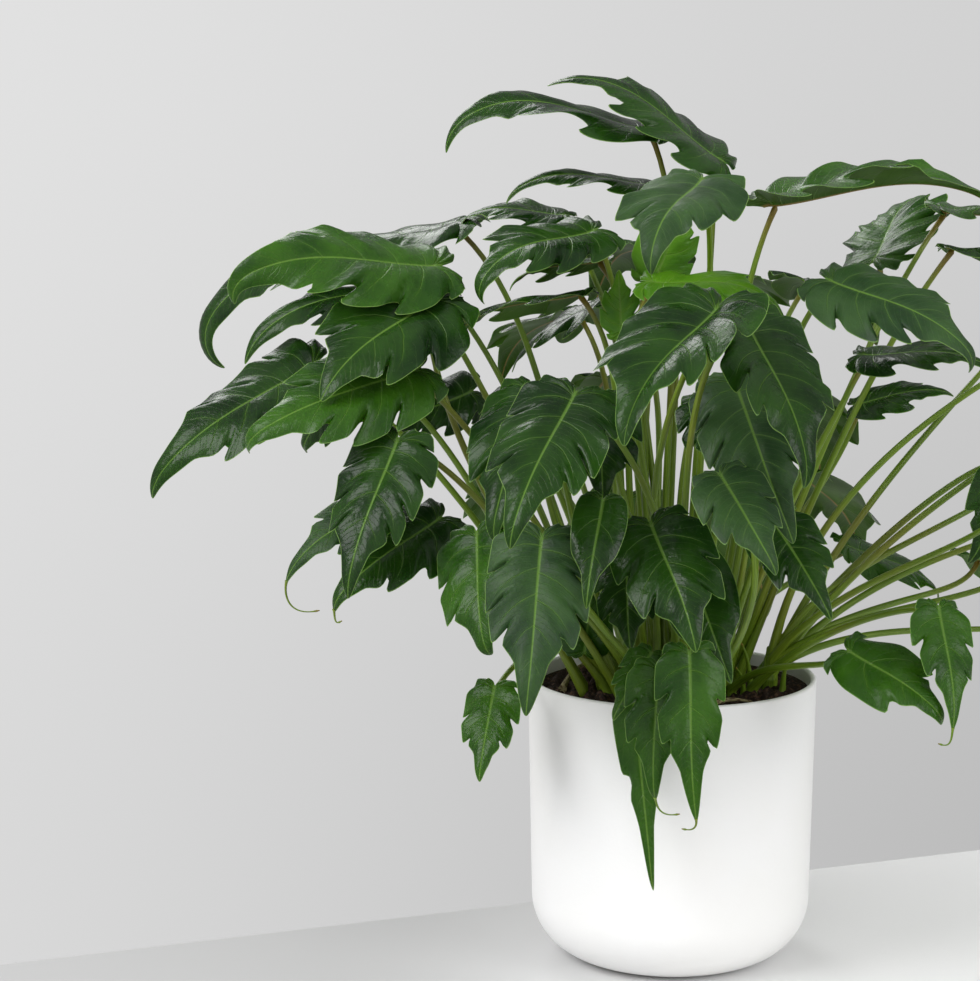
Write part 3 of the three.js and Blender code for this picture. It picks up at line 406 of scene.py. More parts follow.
# Each light: its name, its place and its width in metres, and its share of the main light's power
LIGHTS = (
    ("main_light", (-2.3, -1.8, 2.5), 2.2, 1.0),
    ("fill_light", (2.4, -1.9, 1.6), 2.0, 0.42),
    ("back_light", (-1.2, 2.4, 2.2), 1.6, 0.3),
)
LIT_POINT = (0.0, 0.0, 0.4)

Leaf = namedtuple("Leaf", "node knee tip facing width lobes arch fold shade seed")


def unit(v):
    """A vector, or each row of an array of vectors, at length one."""
    return v / np.linalg.norm(v, axis=-1, keepdims=True)


def ease(low, high, x):
    """0 below low and 1 above high, with a smooth step between: 3t squared less 2t cubed."""
    t = np.clip((x - low) / (high - low), 0.0, 1.0)
    return t * t * (3 - 2 * t)


def sighted(place, shift):
    """The real place, in millimetres, of one that is seen against the upright middle plane: it is moved
    along the line of sight by its depth and its shift."""
    across, up, depth = place
    seen = np.array([across, 0.0, up]) - EYE
    return EYE + seen * (1 + (depth + shift) / -EYE[1])


def along_curve(points, t):
    """Places at shares t of a Bezier curve: the sum of its control points, each weighted by its
    Bernstein polynomial."""
    t = np.asarray(t, float)[..., None]
    order = len(points) - 1
    return sum(
        math.comb(order, k) * t**k * (1 - t) ** (order - k) * np.asarray(point)
        for k, point in enumerate(points)
    )


def heading(points, t):
    """Unit tangents of a Bezier curve at shares t: the curve of its control points' differences."""
    return unit(along_curve([b - a for a, b in zip(points, points[1:])], t))


class Blade:
    """The midrib, the sides and the ribs of one leaf's blade, in millimetres."""

    def __init__(self, leaf, shift):
        self.leaf = leaf
        self.knee = sighted(leaf.knee, shift)
        self.tip = sighted(leaf.tip, shift)
        self.length = np.linalg.norm(self.tip - self.knee)
        chord = unit(self.tip - self.knee)
        facing = np.array(leaf.facing, float)
        self.upper = unit(facing - chord * (facing @ chord))
        self.side = unit(np.cross(chord, self.upper))
        rise = self.upper * leaf.arch * self.length
        bulge = self.knee * (1 - BULGE_PLACE) + self.tip * BULGE_PLACE + rise * BULGE_HEIGHT
        near_knee = (self.knee + 2 * bulge) / 3
        near_tip = (self.tip + 2 * bulge) / 3 + rise * HOOK_HEIGHT
        self.midrib = [self.knee, near_knee, near_tip, self.tip]
        self.lobe = (LOBE_END - LOBE_START) / max(leaf.lobes - 1, 1)

    def phase(self, u):
        """Which lobe a rib is in: whole numbers are the cuts between lobes, with 0 the first one above the
        basal lobe."""
        basal = BASAL_PHASES * (u - LOBE_START) / LOBE_START
        side = (u - LOBE_START) / self.lobe
        tip = (LOBE_END - LOBE_START) / self.lobe + (u - LOBE_END) / TIP_PHASE
        return np.where(u < LOBE_START, basal, np.where(u > LOBE_END, tip, side))

    def reach(self, u):
        """How far a rib reaches before its lobes are cut: the largest of three widths. One is a sine of
        the rib's eased place, raised to a power below one so that the sides are full, and narrowed past
        the last lobe. One is the tip lobe's strap, which stays even and then tapers to a point. The last
        is the heel's."""
        swell = np.clip(np.sin(np.pi * u**SWELL_PLACE), 0, None) ** SWELL_FULLNESS
        swell = swell * (1 - TIP_NARROWING * ease(NARROW_FROM, NARROW_TO, u))
        taper = np.clip((1 - u) / (1 - TAPER_FROM), 0, 1) ** TAPER_POWER
        strap = STRAP_WIDTH * ease(STRAP_FROM, LOBE_END, u) * taper
        return self.length * self.leaf.width * np.maximum(np.maximum(swell, strap), HEEL_REACH * (1 - u))

    def rows(self):
        """The ribs of the grid: closer together at the heel and at the tip."""
        count = ROWS_A_PHASE * max((self.leaf.lobes or PLAIN_LOBES) - 1, 1)
        basal = LOBE_START * np.linspace(0, 1, BASAL_ROWS, endpoint=False) ** CROWDING
        side = np.linspace(LOBE_START, LOBE_END, count, endpoint=False)
        tip = LOBE_END + (1 - LOBE_END) * (1 - (1 - np.linspace(0, 1, TIP_ROWS)) ** CROWDING)
        return np.concatenate([basal, side, tip])


def cuts(phase, depths):
    """How deep the edge is cut at each phase, and how far it leans forward. After a cut the edge swells
    back out slowly, and just before the next it falls in fast, so each lobe ends in a forward tooth. One
    shallow cut parts the basal lobe."""
    last = len(depths) - 1
    below = np.floor(phase)
    q = phase - below
    behind = np.where((below >= 0) & (below <= last), depths[np.clip(below, 0, last).astype(int)], 0)
    ahead = np.where((below >= -1) & (below < last), depths[np.clip(below + 1, 0, last).astype(int)], 0)
    notch = behind * (1 - ease(0, NOTCH_TO, q)) + ahead * ease(NOTCH_FROM, 1, q)
    basal = 1 - ease(0, BASAL_NOTCH_REACH, np.abs(phase + BASAL_NOTCH_PLACE))
    notch += BASAL_NOTCH_SHARE * depths[0] * basal
    tooth = ahead * ease(TOOTH_FROM, TOOTH_TOP, q) * (1 - ease(TOOTH_TO, 1, q))
    return notch, tooth


def spine(blade, line, shares, curl):
    """Places and headings at shares of a midrib's curve. Past CURL_FROM the heading is turned down about
    the blade's side, by the curl times the square of how far past it is, and the places add up the turned
    steps."""
    fine = np.linspace(0, 1, 401)
    along = heading(line, fine)
    turn = (curl * np.clip((fine - CURL_FROM) / (1 - CURL_FROM), 0, 1) ** 2)[:, None]
    along = along * np.cos(turn) - np.cross(blade.side, along) * np.sin(turn)
    steps = np.linalg.norm(np.diff(along_curve(line, fine), axis=0), axis=1)[:, None]
    places = np.concatenate([[line[0]], line[0] + np.cumsum((along[1:] + along[:-1]) / 2 * steps, axis=0)])
    at = [np.stack([np.interp(shares, fine, part) for part in whole.T], -1) for whole in (places, along)]
    return at[0], unit(at[1])


def half_blade(blade, line, curl, u, v, hand, rng):
    """One half of a blade's middle surface, on the grid of ribs u and places v along them, in millimetres.

    A rib starts on the midrib, at an eased share of its length. It leaves it at an angle that fades from
    straight back at the heel to well forward near the tip, and curves forward by CURVE degrees more. The
    blade's sides are twisted about the midrib towards the tip, by an eased share of the leaf's twist. The
    height above the midrib is a fold that is highest in mid rib, less the droop of the edge, plus waves:
    one along the edge, one that dips at each vein, one that dips at each lobe, and a slow uneven one.
    Also returned: the phase, the width of a phase and the distances to the edge and to the midrib."""
    leaf = blade.leaf
    root = np.clip((u - RIB_START) / (1 - RIB_START), 0, 1) ** ROOT_EASE
    start, forward = (part[:, None, :] for part in spine(blade, line, root, curl))
    twist = TWISTS.get(leaf.node, 0.0) * ease(TWIST_FROM, TWIST_TO, u)[:, None, None]
    side = blade.side * np.cos(twist) + unit(np.cross(blade.side, forward)) * np.sin(twist)
    normal = unit(np.cross(side, forward))
    settled = ease(0, HEEL_SETTLED, u)[:, None]
    curve = CURVE * settled * (1 - ease(CURVE_FADE, 1, u))[:, None] * (1 - v)
    angle = np.radians((RIB_ANGLE + RIB_TURN * np.exp(-u / RIB_FADE))[:, None] + curve)

    offset = PHASE_OFFSET * hand * rng.uniform(OFFSET_LEAST, 1)
    phase = blade.phase(u) + offset * ease(*OFFSET_STARTS, u) * (1 - ease(*OFFSET_ENDS, u))
    depths = rng.uniform(*CUT_DEPTHS, max(leaf.lobes, 1)) * (1 if leaf.lobes else 0)
    notch, tooth = cuts(phase, depths)
    full = blade.reach(u)[:, None]
    out = v * full * (1 - SINUS_DEPTH * notch[:, None] * v)
    ahead = full * TOOTH_LEAN * tooth[:, None] * v**3

    vein = 0.5 + 0.5 * np.cos(2 * np.pi * (phase[:, None] - VEIN_START - VEIN_LEAN * v))
    wave = WAVE_HEIGHT * np.sin(2 * np.pi * (WAVE_COUNT * u + WAVE_STEP * leaf.seed) + hand)[:, None]
    calm = 1 - LOBE_CALM * ease(LOBE_END, NARROW_TO, u)
    lobe = (-np.cos(2 * np.pi * (phase - LOBE_PLACE)) * calm)[:, None]
    slow = 0
    for _ in range(SLOW_WAVES):
        size, waves, lean, start_at = rng.uniform(SLOW_LEAST, SLOW_MOST)
        slow = slow + size * np.sin(2 * np.pi * (waves * u[:, None] + lean * v + start_at))
    height = full * (
        FOLD * v * (1 - v)
        + settled * v**2 * (wave - EDGE_DROOP)
        + settled * v * leaf.fold
        + settled * LOBE_DROOP * v**3 * lobe
        - settled * QUILT * np.sin(np.pi * v) * vein
        + settled * UNEVEN * v * slow
    )
    places = start + hand * side * (out * np.sin(angle))[..., None]
    places = places + forward * (out * np.cos(angle) + ahead)[..., None]
    places = places + normal * height[..., None]

    step = np.gradient(places, axis=0) / np.gradient(phase)[:, None, None]
    along = unit(np.gradient(places, axis=1) + 1e-9)
    pitch = np.linalg.norm(step - along * (step * along).sum(-1, keepdims=True), axis=-1)
    edge = full * (1 - v) * (1 - EDGE_CUT * notch[:, None])
    rib = out * np.sin(angle)
    return places, np.broadcast_to(phase[:, None], out.shape), pitch, edge, rib


def triangles_of(ids, flip):
    """Two triangles for each cell of a grid, as places in the grid and as the points that they stand for.
    A cell that has two corners on one point gives a single triangle."""
    flat = np.arange(ids.size).reshape(ids.shape)
    a, b, c, d = flat[:-1, :-1], flat[1:, :-1], flat[1:, 1:], flat[:-1, 1:]
    cells = np.concatenate([np.stack([a, b, c], -1).reshape(-1, 3), np.stack([a, c, d], -1).reshape(-1, 3)])
    if flip:
        cells = cells[:, ::-1]
    merged = ids.ravel()[cells]
    whole = (merged[:, 0] != merged[:, 1]) & (merged[:, 1] != merged[:, 2]) & (merged[:, 2] != merged[:, 0])
    return cells[whole], merged[whole]


def point_normals(points, triangles):
    """Unit normals at the points: the sum of the cross products of their triangles' sides."""
    a, b, c = (points[triangles[:, k]] for k in range(3))
    across = np.cross(b - a, c - a)
    total = np.zeros_like(points)
    for k in range(3):
        np.add.at(total, triangles[:, k], across)
    return unit(total)


class Skin:
    """One piece's mesh while it is put together from closed shells, in millimetres."""

    def __init__(self):
        self.points, self.triangles, self.finish = [], [], []
        self.uv, self.size, self.place = [], [], []
        self.count = 0

    def put(self, points):
        """Adds points, and gives the number of the first one."""
        first = self.count
        self.points.append(points)
        self.count += len(points)
        return first

    def cover(self, triangles, pairs, finish):
        """Adds triangles of numbered points, with three pairs of numbers for each corner and one finish."""
        self.triangles.append(triangles)
        for store, pair in zip((self.uv, self.size, self.place), pairs):
            store.append(pair.reshape(-1, 2))
        self.finish.append(np.full(len(triangles), finish))

    def make(self, name, materials):
        """The finished object, at the origin, with its place in its mesh."""
        mesh = bpy.data.meshes.new(name)
        triangles = np.concatenate(self.triangles)
        mesh.from_pydata(np.concatenate(self.points) * MM, [], triangles)
        for material in materials:
            mesh.materials.append(material)
        mesh.polygons.foreach_set("material_index", np.concatenate(self.finish).astype(np.int32))
        for layer, pairs in (("leaf", self.uv), ("size", self.size), ("place", self.place)):
            data = mesh.uv_layers.new(name=layer).data
            data.foreach_set("uv", np.concatenate(pairs).astype(np.float32).ravel())
        mesh.shade_smooth()
        mesh.set_sharp_from_angle(angle=math.radians(SHARP_ANGLE))
        piece = bpy.data.objects.new(name, mesh)
        bpy.context.scene.collection.objects.link(piece)
        return piece


def add_blade(skin, blade, upper, under):
    """Adds a blade as a thin closed shell: its middle surface moved up and down by half its thickness, with
    the midrib thicker underneath, and a rim between the two. Gives the tip's place and heading."""
    rng = np.random.default_rng(SEED + blade.leaf.seed)
    line = list(blade.midrib)
    line[2] = line[2] + blade.side * blade.length * rng.uniform(-SIDE_BEND, SIDE_BEND)
    curl = CURL_LEAST + (CURL_MOST - CURL_LEAST) * rng.uniform() ** 2
    u, v = blade.rows(), RIB_PLACES[None, :]
    halves = [half_blade(blade, line, curl, u, v, hand, rng) for hand in (1, -1)]
    places, phase, pitch, edge, rib = (np.stack(parts) for parts in zip(*halves))

    ids = np.arange(phase.size).reshape(phase.shape)
    ids[:, u <= RIB_START, 0] = ids[0, 0, 0]
    ids[1, :, 0] = ids[0, :, 0]
    ids[1, 0] = ids[0, 0]
    ids[:, -1] = ids[0, -1, 0]
    kept, merged = np.unique(ids, return_inverse=True)
    ids = merged.reshape(ids.shape)
    middle = places.reshape(-1, 3)[kept]
    size_u = np.broadcast_to(u[None, :, None], phase.shape)
    size_v = np.broadcast_to(v[None], phase.shape)

    sheets = [triangles_of(ids[0], True), triangles_of(ids[1], False)]
    faces = np.concatenate([merged for _, merged in sheets])
    normals = point_normals(middle, faces)
    thickness = (BLADE_HALF * (1 - MARGIN_THINNING * size_v**MARGIN_POWER)).ravel()[kept][:, None]
    ridge = MIDRIB_DEPTH * (1 - size_u) ** RIDGE_FADE * np.exp(-((rib / MIDRIB_WIDTH) ** 2))
    ridge = ridge.ravel()[kept][:, None]
    count = len(middle)
    points = np.concatenate([middle + normals * thickness, middle - normals * (thickness + ridge)])

    def corners_of(cells, half):
        pairs = [(phase, size_v), (pitch, edge), (rib, size_u)]
        return [np.stack([one[half].ravel()[cells], two[half].ravel()[cells]], -1) for one, two in pairs]

    first = skin.put(points)
    for half, (cells, merged) in enumerate(sheets):
        pairs = corners_of(cells, half)
        skin.cover(merged + first, pairs, upper)
        skin.cover(merged[:, ::-1] + count + first, [pair[:, ::-1] for pair in pairs], under)
        rim = np.stack([ids[half, :, -1], ids[half, :, -1] + count])
        cells, merged = triangles_of(rim, half == 1)
        last = (np.arange(len(u)) + 1) * len(RIB_PLACES) - 1
        row = np.broadcast_to(last, rim.shape).ravel()
        skin.cover(merged + first, corners_of(row[cells], half), upper)
    return [part[0] for part in spine(blade, line, np.array([1.0]), curl)]


def add_thread(skin, tip, ahead, length, across):
    """Adds the thread that some tips end in: a thin tube that leaves the tip, hangs and curls sideways."""
    side = np.array([across, 0.0, 0.0]) * length
    down = np.array([0.0, 0.0, -length])
    hung = [tip + down * THREAD_HANG, tip + down * THREAD_END + side]
    path = [tip - ahead * THREAD_ROOT, tip + ahead * length * THREAD_LEAD, *hung]
    add_stalk(skin, path, NO_POINTS, THREAD_RADII, STALK_FINISH)


def lengths_along(points):
    """How far along a line of points each one is."""
    return np.concatenate([[0], np.cumsum(np.linalg.norm(np.diff(points, axis=0), axis=1))])


def add_rings(skin, places, poles, values, finish):
    """Adds a closed surface of rings, each one row of places whose last meets its first. A row named in
    poles is a single point. The values are three pairs of numbers for each place."""
    ids = np.arange(places[..., 0].size).reshape(places.shape[:2])
    ids[:, -1] = ids[:, 0]
    for row in poles:
        ids[row] = ids[row, 0]
    kept, merged = np.unique(ids, return_inverse=True)
    cells, faces = triangles_of(merged.reshape(ids.shape), True)
    pairs = [
        np.stack([np.broadcast_to(part, ids.shape).ravel()[cells] for part in pair], -1) for pair in values
    ]
    first = skin.put(places.reshape(-1, 3)[kept])
    skin.cover(faces + first, pairs, finish)


def add_stalk(skin, path, start, radii, finish):
    """Adds a stalk: a round tube up through the start's points and along the path's curve, whose radius
    goes from radii[0] to radii[1] along the curve. It has a wider sheath at its foot and a small swelling
    under the blade, and is closed by a pole at each end."""
    t = np.concatenate([np.linspace(0, 1, STALK_RINGS), [1.0]])
    centres = along_curve(path, t)
    tangents = heading(path, t)
    radius = radii[0] + (radii[1] - radii[0]) * t
    radius = radius * (1 + SHEATH_SWELL * np.exp(-t / SHEATH_FADE))
    radius += KNEE_SWELL * np.exp(-(((1 - t) / KNEE_FADE) ** 2))
    radius[-1] *= END_WIDTH
    centres[-1] += tangents[-1] * (KNEE_DROP - KNEE_GAP)
    centres = np.concatenate([start, centres])
    tangents = np.concatenate([np.tile([0.0, 0.0, 1.0], (len(start), 1)), tangents])
    radius = np.concatenate([np.full(len(start), radius[0]), radius])
    centres = np.concatenate([centres[:1], centres, centres[-1:]])
    tangents = np.concatenate([tangents[:1], tangents, tangents[-1:]])
    radius = np.concatenate([[0.0], radius, [0.0]])
    away = path[-1] - path[0]
    plane = unit(np.cross([0.0, 0.0, 1.0], away + [1e-6, 0, 0]))
    one = unit(plane - tangents * (tangents @ plane)[:, None])
    two = np.cross(tangents, one)
    turn = np.linspace(0, 2 * np.pi, STALK_SIDES + 1)
    ring = one[:, None] * np.cos(turn)[:, None] + two[:, None] * np.sin(turn)[:, None]
    places = centres[:, None] + ring * radius[:, None, None]
    travelled = lengths_along(centres)[:, None]
    place = (travelled / travelled[-1], radius[:, None])
    add_rings(skin, places, (0, -1), [(turn / (2 * np.pi), travelled), place, place], finish)


def node_points(name):
    """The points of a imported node, in millimetres."""
    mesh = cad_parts[name].data
    places = np.empty(len(mesh.vertices) * 3, np.float32)
    mesh.vertices.foreach_get("co", places)
    return places.reshape(-1, 3).astype(float) / MM


def distances(places, points):
    """The distance from each place to each point."""
    return np.linalg.norm(places[..., None, :] - points, axis=-1)


def find_blade(leaf, points):
    """The blade at the step in depth that puts its knee and its tip on the node's own points."""
    blades = [Blade(leaf, shift) for shift in BLADE_SHIFTS]
    ends = np.array([[blade.knee, blade.tip] for blade in blades])
    misses = np.abs(distances(ends, points).min(-1) - SOLID_HALF).sum(-1)
    return blades[int(misses.argmin())]


def stalk_path(blade, start, sideways, outward):
    """Control points of a stalk's cubic curve, from its start to just beneath the knee. The lower one
    rises on the way to the knee, and the upper one lies below and behind the blade, by an arm that is a
    share of the span. Both are moved sideways and outward by the bend, and up where the knee is low."""
    end = blade.knee - blade.upper * KNEE_DROP
    span = np.linalg.norm(end - start)
    away = unit((end - start) * (1, 1, 0))
    across = np.array([-away[1], away[0], 0.0])
    arm = np.clip(ARM_SHARE * span, *ARM_LIMITS)
    climb = max(0.0, RIM_CLIMB - end[2])
    low = start * (1 - LOW_PLACE) + end * LOW_PLACE + np.array([0, 0, LOW_RISE * span + climb])
    high = end - blade.upper * ARM_BELOW * arm - heading(blade.midrib, 0.0) * ARM_BEHIND * arm
    high = high + np.array([0, 0, climb / 2])
    low = low + across * sideways + away * outward
    high = high + (across * sideways + away * outward) * HIGH_BEND
    return [start, low, high, end]


def find_stalk(blade, start, points):
    """The stalk's curve with the bend that puts its quarter points amid the rings of the node's stalk."""
    shares = np.array(MATCHED_SHARES)
    radii = SOLID_FOOT + (SOLID_KNEE - SOLID_FOOT) * shares
    bends = [(0.0, 0.0)]
    for reach in BEND_REACHES:
        for turn in range(BEND_TURNS):
            angle = 2 * np.pi * turn / BEND_TURNS
            bends.append((reach * np.cos(angle), reach * np.sin(angle)))
    paths = [stalk_path(blade, start, *bend) for bend in bends]
    centres = np.array([along_curve(path, shares) for path in paths])
    near = np.sort(distances(centres, points), axis=-1)[..., :MATCHED_POINTS]
    misses = np.abs(near - radii[None, :, None]).mean(-1).sum(-1)
    return paths[int(misses.argmin())]


def make_leaf(row, seed):
    """One leaf as one piece: its blade and its stalk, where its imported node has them."""
    leaf = Leaf(*row, seed)
    points = node_points(leaf.node)
    blade = find_blade(leaf, points)
    deep = np.abs(points[:, 2] - (SOIL_TOP - FOOT_DEPTH)) < NEAR
    x, y = points[deep & (np.hypot(points[:, 0], points[:, 1]) < SOIL_REACH), :2].mean(0)
    start = np.array([x, y, SOIL_TOP + FOOT_RISE])
    below = start - np.array([[0, 0, FOOT_RISE + FOOT_DEPTH], [0, 0, FOOT_RISE + SHEATH_DEPTH]])
    skin = Skin()
    tip, ahead = add_blade(skin, blade, UPPER_FINISH, UNDER_FINISH)
    if leaf.node in THREADS:
        add_thread(skin, tip, ahead, *THREADS[leaf.node])
    add_stalk(skin, find_stalk(blade, start, points), below, FINE_RADII, STALK_FINISH)
    piece = skin.make(leaf.node.removeprefix("leaf_") + "_leaf", leaf_finishes(leaf.shade))
    finish_piece(piece, "leaf", leaf.node)
    return piece


def finish_piece(piece, slot, *nodes):
    """Has a piece ride with the part and stand for its nodes; the slot is not used."""
    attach(piece, "root")
    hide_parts(*nodes)


def turned(skin, profile, sides, finish, moved=None):
    """Adds a profile of radius and height, turned round the upright axis, with a pole at each end. With a
    function in moved, every place is moved by it."""
    profile = np.asarray(profile, float)
    turn = np.linspace(0, 2 * np.pi, sides + 1)
    places = np.stack([
        profile[:, :1] * np.cos(turn),
        profile[:, :1] * np.sin(turn),
        np.broadcast_to(profile[:, 1:], (len(profile), sides + 1)),
    ], -1)
    if moved is not None:
        places = moved(places)
    pair = (turn / (2 * np.pi), lengths_along(profile)[:, None])
    add_rings(skin, places, np.flatnonzero(profile[:, 0] < SAME), [pair] * 3, finish)


def arc(centre, radius, start, end, steps):
    """Points on a circle about a centre, from one angle to another in degrees."""
    angle = np.radians(np.linspace(start, end, steps + 1))
    return np.stack([centre[0] + radius * np.cos(angle), centre[1] + radius * np.sin(angle)], -1)


class Tree:
    """The nodes of a material or a world, with short calls that add one and join it to the others."""

    def __init__(self, node_tree):
        self.nodes = node_tree.nodes
        self.links = node_tree.links
        self.nodes.clear()

    def feed(self, socket, value):
        """Joins a socket to another, or gives it a value."""
        if isinstance(value, bpy.types.NodeSocket):
            self.links.new(value, socket)
        else:
            socket.default_value = value

    def node(self, kind, inputs, **settings):
        """A node of that kind with its settings and inputs."""
        made = self.nodes.new("ShaderNode" + kind)
        for name, value in settings.items():
            setattr(made, name, value)
        for name, value in inputs.items():
            self.feed(made.inputs[name], value)
        return made

    def math(self, operation, *values):
        """The result of an operation on sockets or numbers."""
        return self.node("Math", dict(enumerate(values)), operation=operation).outputs[0]

    def rest(self, value):
        """One less the value."""
        return self.math("SUBTRACT", 1.0, value)

    def times(self, one, two):
        """The product of two values."""
        return self.math("MULTIPLY", one, two)

    def line(self, value, slope, shift):
        """The value times a slope, and a shift added."""
        return self.math("MULTIPLY_ADD", value, slope, shift)

    def from_middle(self, value, width):
        """How far a value's fraction is from a half, times a width."""
        fraction = self.math("FRACT", value)
        return self.times(self.math("ABSOLUTE", self.math("SUBTRACT", fraction, 0.5)), width)

    def ramp(self, value, low, high):
        """0 at low and 1 at high, with a smooth step between."""
        inputs = {"Value": value, "From Min": low, "From Max": high}
        return self.node("MapRange", inputs, interpolation_type="SMOOTHSTEP").outputs[0]

    def mix(self, factor, one, two):
        """Colour one where the factor is 0 and colour two where it is 1."""
        made = self.node("Mix", {0: factor, 6: one, 7: two}, data_type="RGBA")
        return made.outputs[2]

    def pair(self, layer):
        """The two numbers that a piece keeps in one of its own maps."""
        read = self.node("UVMap", {}, uv_map=layer)
        parts = self.node("SeparateXYZ", {0: read.outputs[0]})
        return parts.outputs[0], parts.outputs[1]

    def noise(self, scale, detail=2.0, vector=None, roughness=0.5):
        """A noise of so many waves a metre on the object, or on another vector."""
        if vector is None:
            vector = self.node("TexCoord", {}).outputs["Object"]
        inputs = {"Vector": vector, "Scale": scale, "Detail": detail, "Roughness": roughness}
        return self.node("TexNoise", inputs).outputs[0]


class Surface(Tree):
    """A material with one shader that the nodes lead to."""

    def __init__(self, name, roughness, specular):
        self.material = bpy.data.materials.new(name)
        self.material.use_nodes = True
        super().__init__(self.material.node_tree)
        self.shader = self.nodes.new("ShaderNodeBsdfPrincipled")
        self.node("OutputMaterial", {"Surface": self.shader.outputs[0]})
        self.feed(self.shader.inputs["Roughness"], roughness)
        self.feed(self.shader.inputs["Specular IOR Level"], specular)

    def glow(self, weight):
        """Lets some light scatter through the thin blade."""
        self.feed(self.shader.inputs["Subsurface Weight"], weight)
        self.feed(self.shader.inputs["Subsurface Radius"], (0.5, 1.0, 0.15))
        self.feed(self.shader.inputs["Subsurface Scale"], 0.0012)

    def paint(self, colour):
        """Gives the surface its colour."""
        self.feed(self.shader.inputs["Base Color"], colour)

    def bump(self, height, distance, strength=1.0):
        """Raises the surface by a height, in metres at 1."""
        made = self.node("Bump", {"Height": height, "Distance": distance, "Strength": strength})
        self.feed(self.shader.inputs["Normal"], made.outputs[0])


def shade(colour):
    """A colour setting with its alpha."""
    return (*colour, 1.0)


def vein_masks(tree):
    """How much of each place on a blade is midrib, side vein, fine vein, glow beside a vein, and margin. A
    side vein is where the phase is at its vein, which leans forward along the rib. Widths are in
    millimetres, and thin out towards the edge and the tip."""
    phase, v = tree.pair("leaf")
    pitch, edge = tree.pair("size")
    rib, u = tree.pair("place")
    vein = tree.line(v, VEIN_LEAN, VEIN_START)
    wander = tree.line(tree.noise(35.0), 0.16, 100.42)
    away = tree.from_middle(tree.math("ADD", tree.math("SUBTRACT", phase, vein), wander), pitch)
    faint = tree.rest(tree.ramp(v, 0.5, 0.92))
    faint = tree.times(faint, tree.line(tree.ramp(u, 0.55, 0.8), -0.6, 1.0))
    width = tree.line(v, -0.6, 1.1)
    side = tree.rest(tree.ramp(away, 0.1, width))
    side = tree.times(side, faint)
    glow = tree.rest(tree.ramp(away, 0.0, 4.5))
    glow = tree.math("MAXIMUM", tree.times(glow, faint), tree.rest(tree.ramp(rib, 1.0, 7.0)))
    wander = tree.times(tree.noise(90.0), 0.5)
    fine = tree.from_middle(tree.math("ADD", tree.times(phase, 5.0), wander), pitch)
    fine = tree.rest(tree.ramp(fine, 0.3, 1.6))
    width = tree.line(u, -1.7, 2.4)
    midrib = tree.rest(tree.ramp(rib, tree.times(width, 0.35), width))
    # The margin mask marks a pale edge that is partly the blade's own colour and partly a painted highlight
    # along the rim
    margin = tree.rest(tree.ramp(edge, 0.3, 0.8))
    return midrib, side, fine, glow, margin


def blade_material(name, dark, light, settings, roughness):
    """The upper face of a blade: dark green that is mottled and lighter beside the veins, pale veins and
    margin, faint specks, and a waxy gloss that the fine unevenness breaks up."""
    tree = Surface(name, roughness, 0.18)
    tree.glow(settings.glow)
    midrib, side, fine, glow, margin = vein_masks(tree)
    mottle = tree.ramp(tree.noise(22.0, 4.0), 0.3, 0.72)
    colour = tree.mix(mottle, shade(dark), shade(light))
    colour = tree.mix(tree.times(glow, 0.5), colour, shade(light))
    for mask, share, tone in (
        (fine, 0.07, settings.vein),
        (tree.ramp(tree.noise(900.0, 1.0), 0.68, 0.76), 0.14, settings.vein),
        (side, 0.3, settings.vein),
        (midrib, 0.7, settings.vein),
        # The pale margin is partly the blade's own edge colour and partly a painted highlight
        (margin, 0.6, settings.margin),
    ):
        colour = tree.mix(tree.times(mask, share), colour, shade(tone))
    tree.paint(colour)
    sheen = tree.line(tree.noise(60.0, 3.0), 0.24, roughness - 0.12)
    tree.feed(tree.shader.inputs["Roughness"], sheen)
    relief = tree.line(tree.noise(420.0, 3.0), 0.22, tree.times(tree.noise(110.0), 0.9))
    relief = tree.math("SUBTRACT", relief, tree.times(side, 0.5))
    relief = tree.math("SUBTRACT", relief, tree.times(fine, 0.12))
    tree.bump(relief, 0.0009)
    return tree.material


def under_material(settings):
    """The underside of a blade: paler and yellower than the upper face and duller, with raised veins."""
    tree = Surface("blade_underside", 0.5, 0.25)
    tree.glow(settings.glow)
    midrib, side, fine, glow, margin = vein_masks(tree)
    mottle = tree.ramp(tree.noise(18.0, 3.0), 0.3, 0.75)
    dim = tuple(0.6 * part for part in settings.underside)
    colour = tree.mix(mottle, shade(dim), shade(settings.underside))
    for mask, share, tone in (
        (fine, 0.12, settings.vein),
        (side, 0.5, settings.vein),
        (midrib, 0.85, settings.rib),
        # The pale margin is partly the blade's own edge colour and partly a painted highlight
        (margin, 0.6, settings.margin),
    ):
        colour = tree.mix(tree.times(mask, share), colour, shade(tone))
    tree.paint(colour)
    relief = tree.math("ADD", tree.times(side, 0.8), tree.times(fine, 0.2))
    tree.bump(relief, 0.0008)
    return tree.material


def stalk_material(settings):
    """A stalk: fresh green with pale streaks along it, browner in patches, and a rust blush under the
    blade."""
    tree = Surface("stalk_skin", 0.38, 0.4)
    turn, travelled = tree.pair("leaf")
    share, radius = tree.pair("place")
    angle = tree.times(turn, 2 * math.pi)
    inputs = {0: tree.math("COSINE", angle), 1: tree.math("SINE", angle),
              2: tree.times(travelled, 0.006)}
    along = tree.node("CombineXYZ", inputs).outputs[0]
    streak = tree.ramp(tree.noise(4.0, 3.0, along), 0.42, 0.7)
    patch = tree.ramp(tree.noise(7.0, 2.0), 0.5, 0.72)
    base = tree.rest(tree.ramp(share, 0.0, 0.22))
    colour = tree.mix(tree.times(streak, 0.6), shade(settings.stalk), shade(settings.stalk_light))
    colour = tree.mix(tree.times(base, 0.35), colour, shade(settings.stalk_light))
    colour = tree.mix(tree.times(patch, 0.3), colour, shade(settings.rust))
    colour = tree.mix(tree.times(tree.ramp(share, 0.88, 1.0), 0.6), colour, shade(settings.rust))
    tree.paint(colour)
    tree.bump(tree.noise(5.0, 2.0, along), 0.0002)
    return tree.material


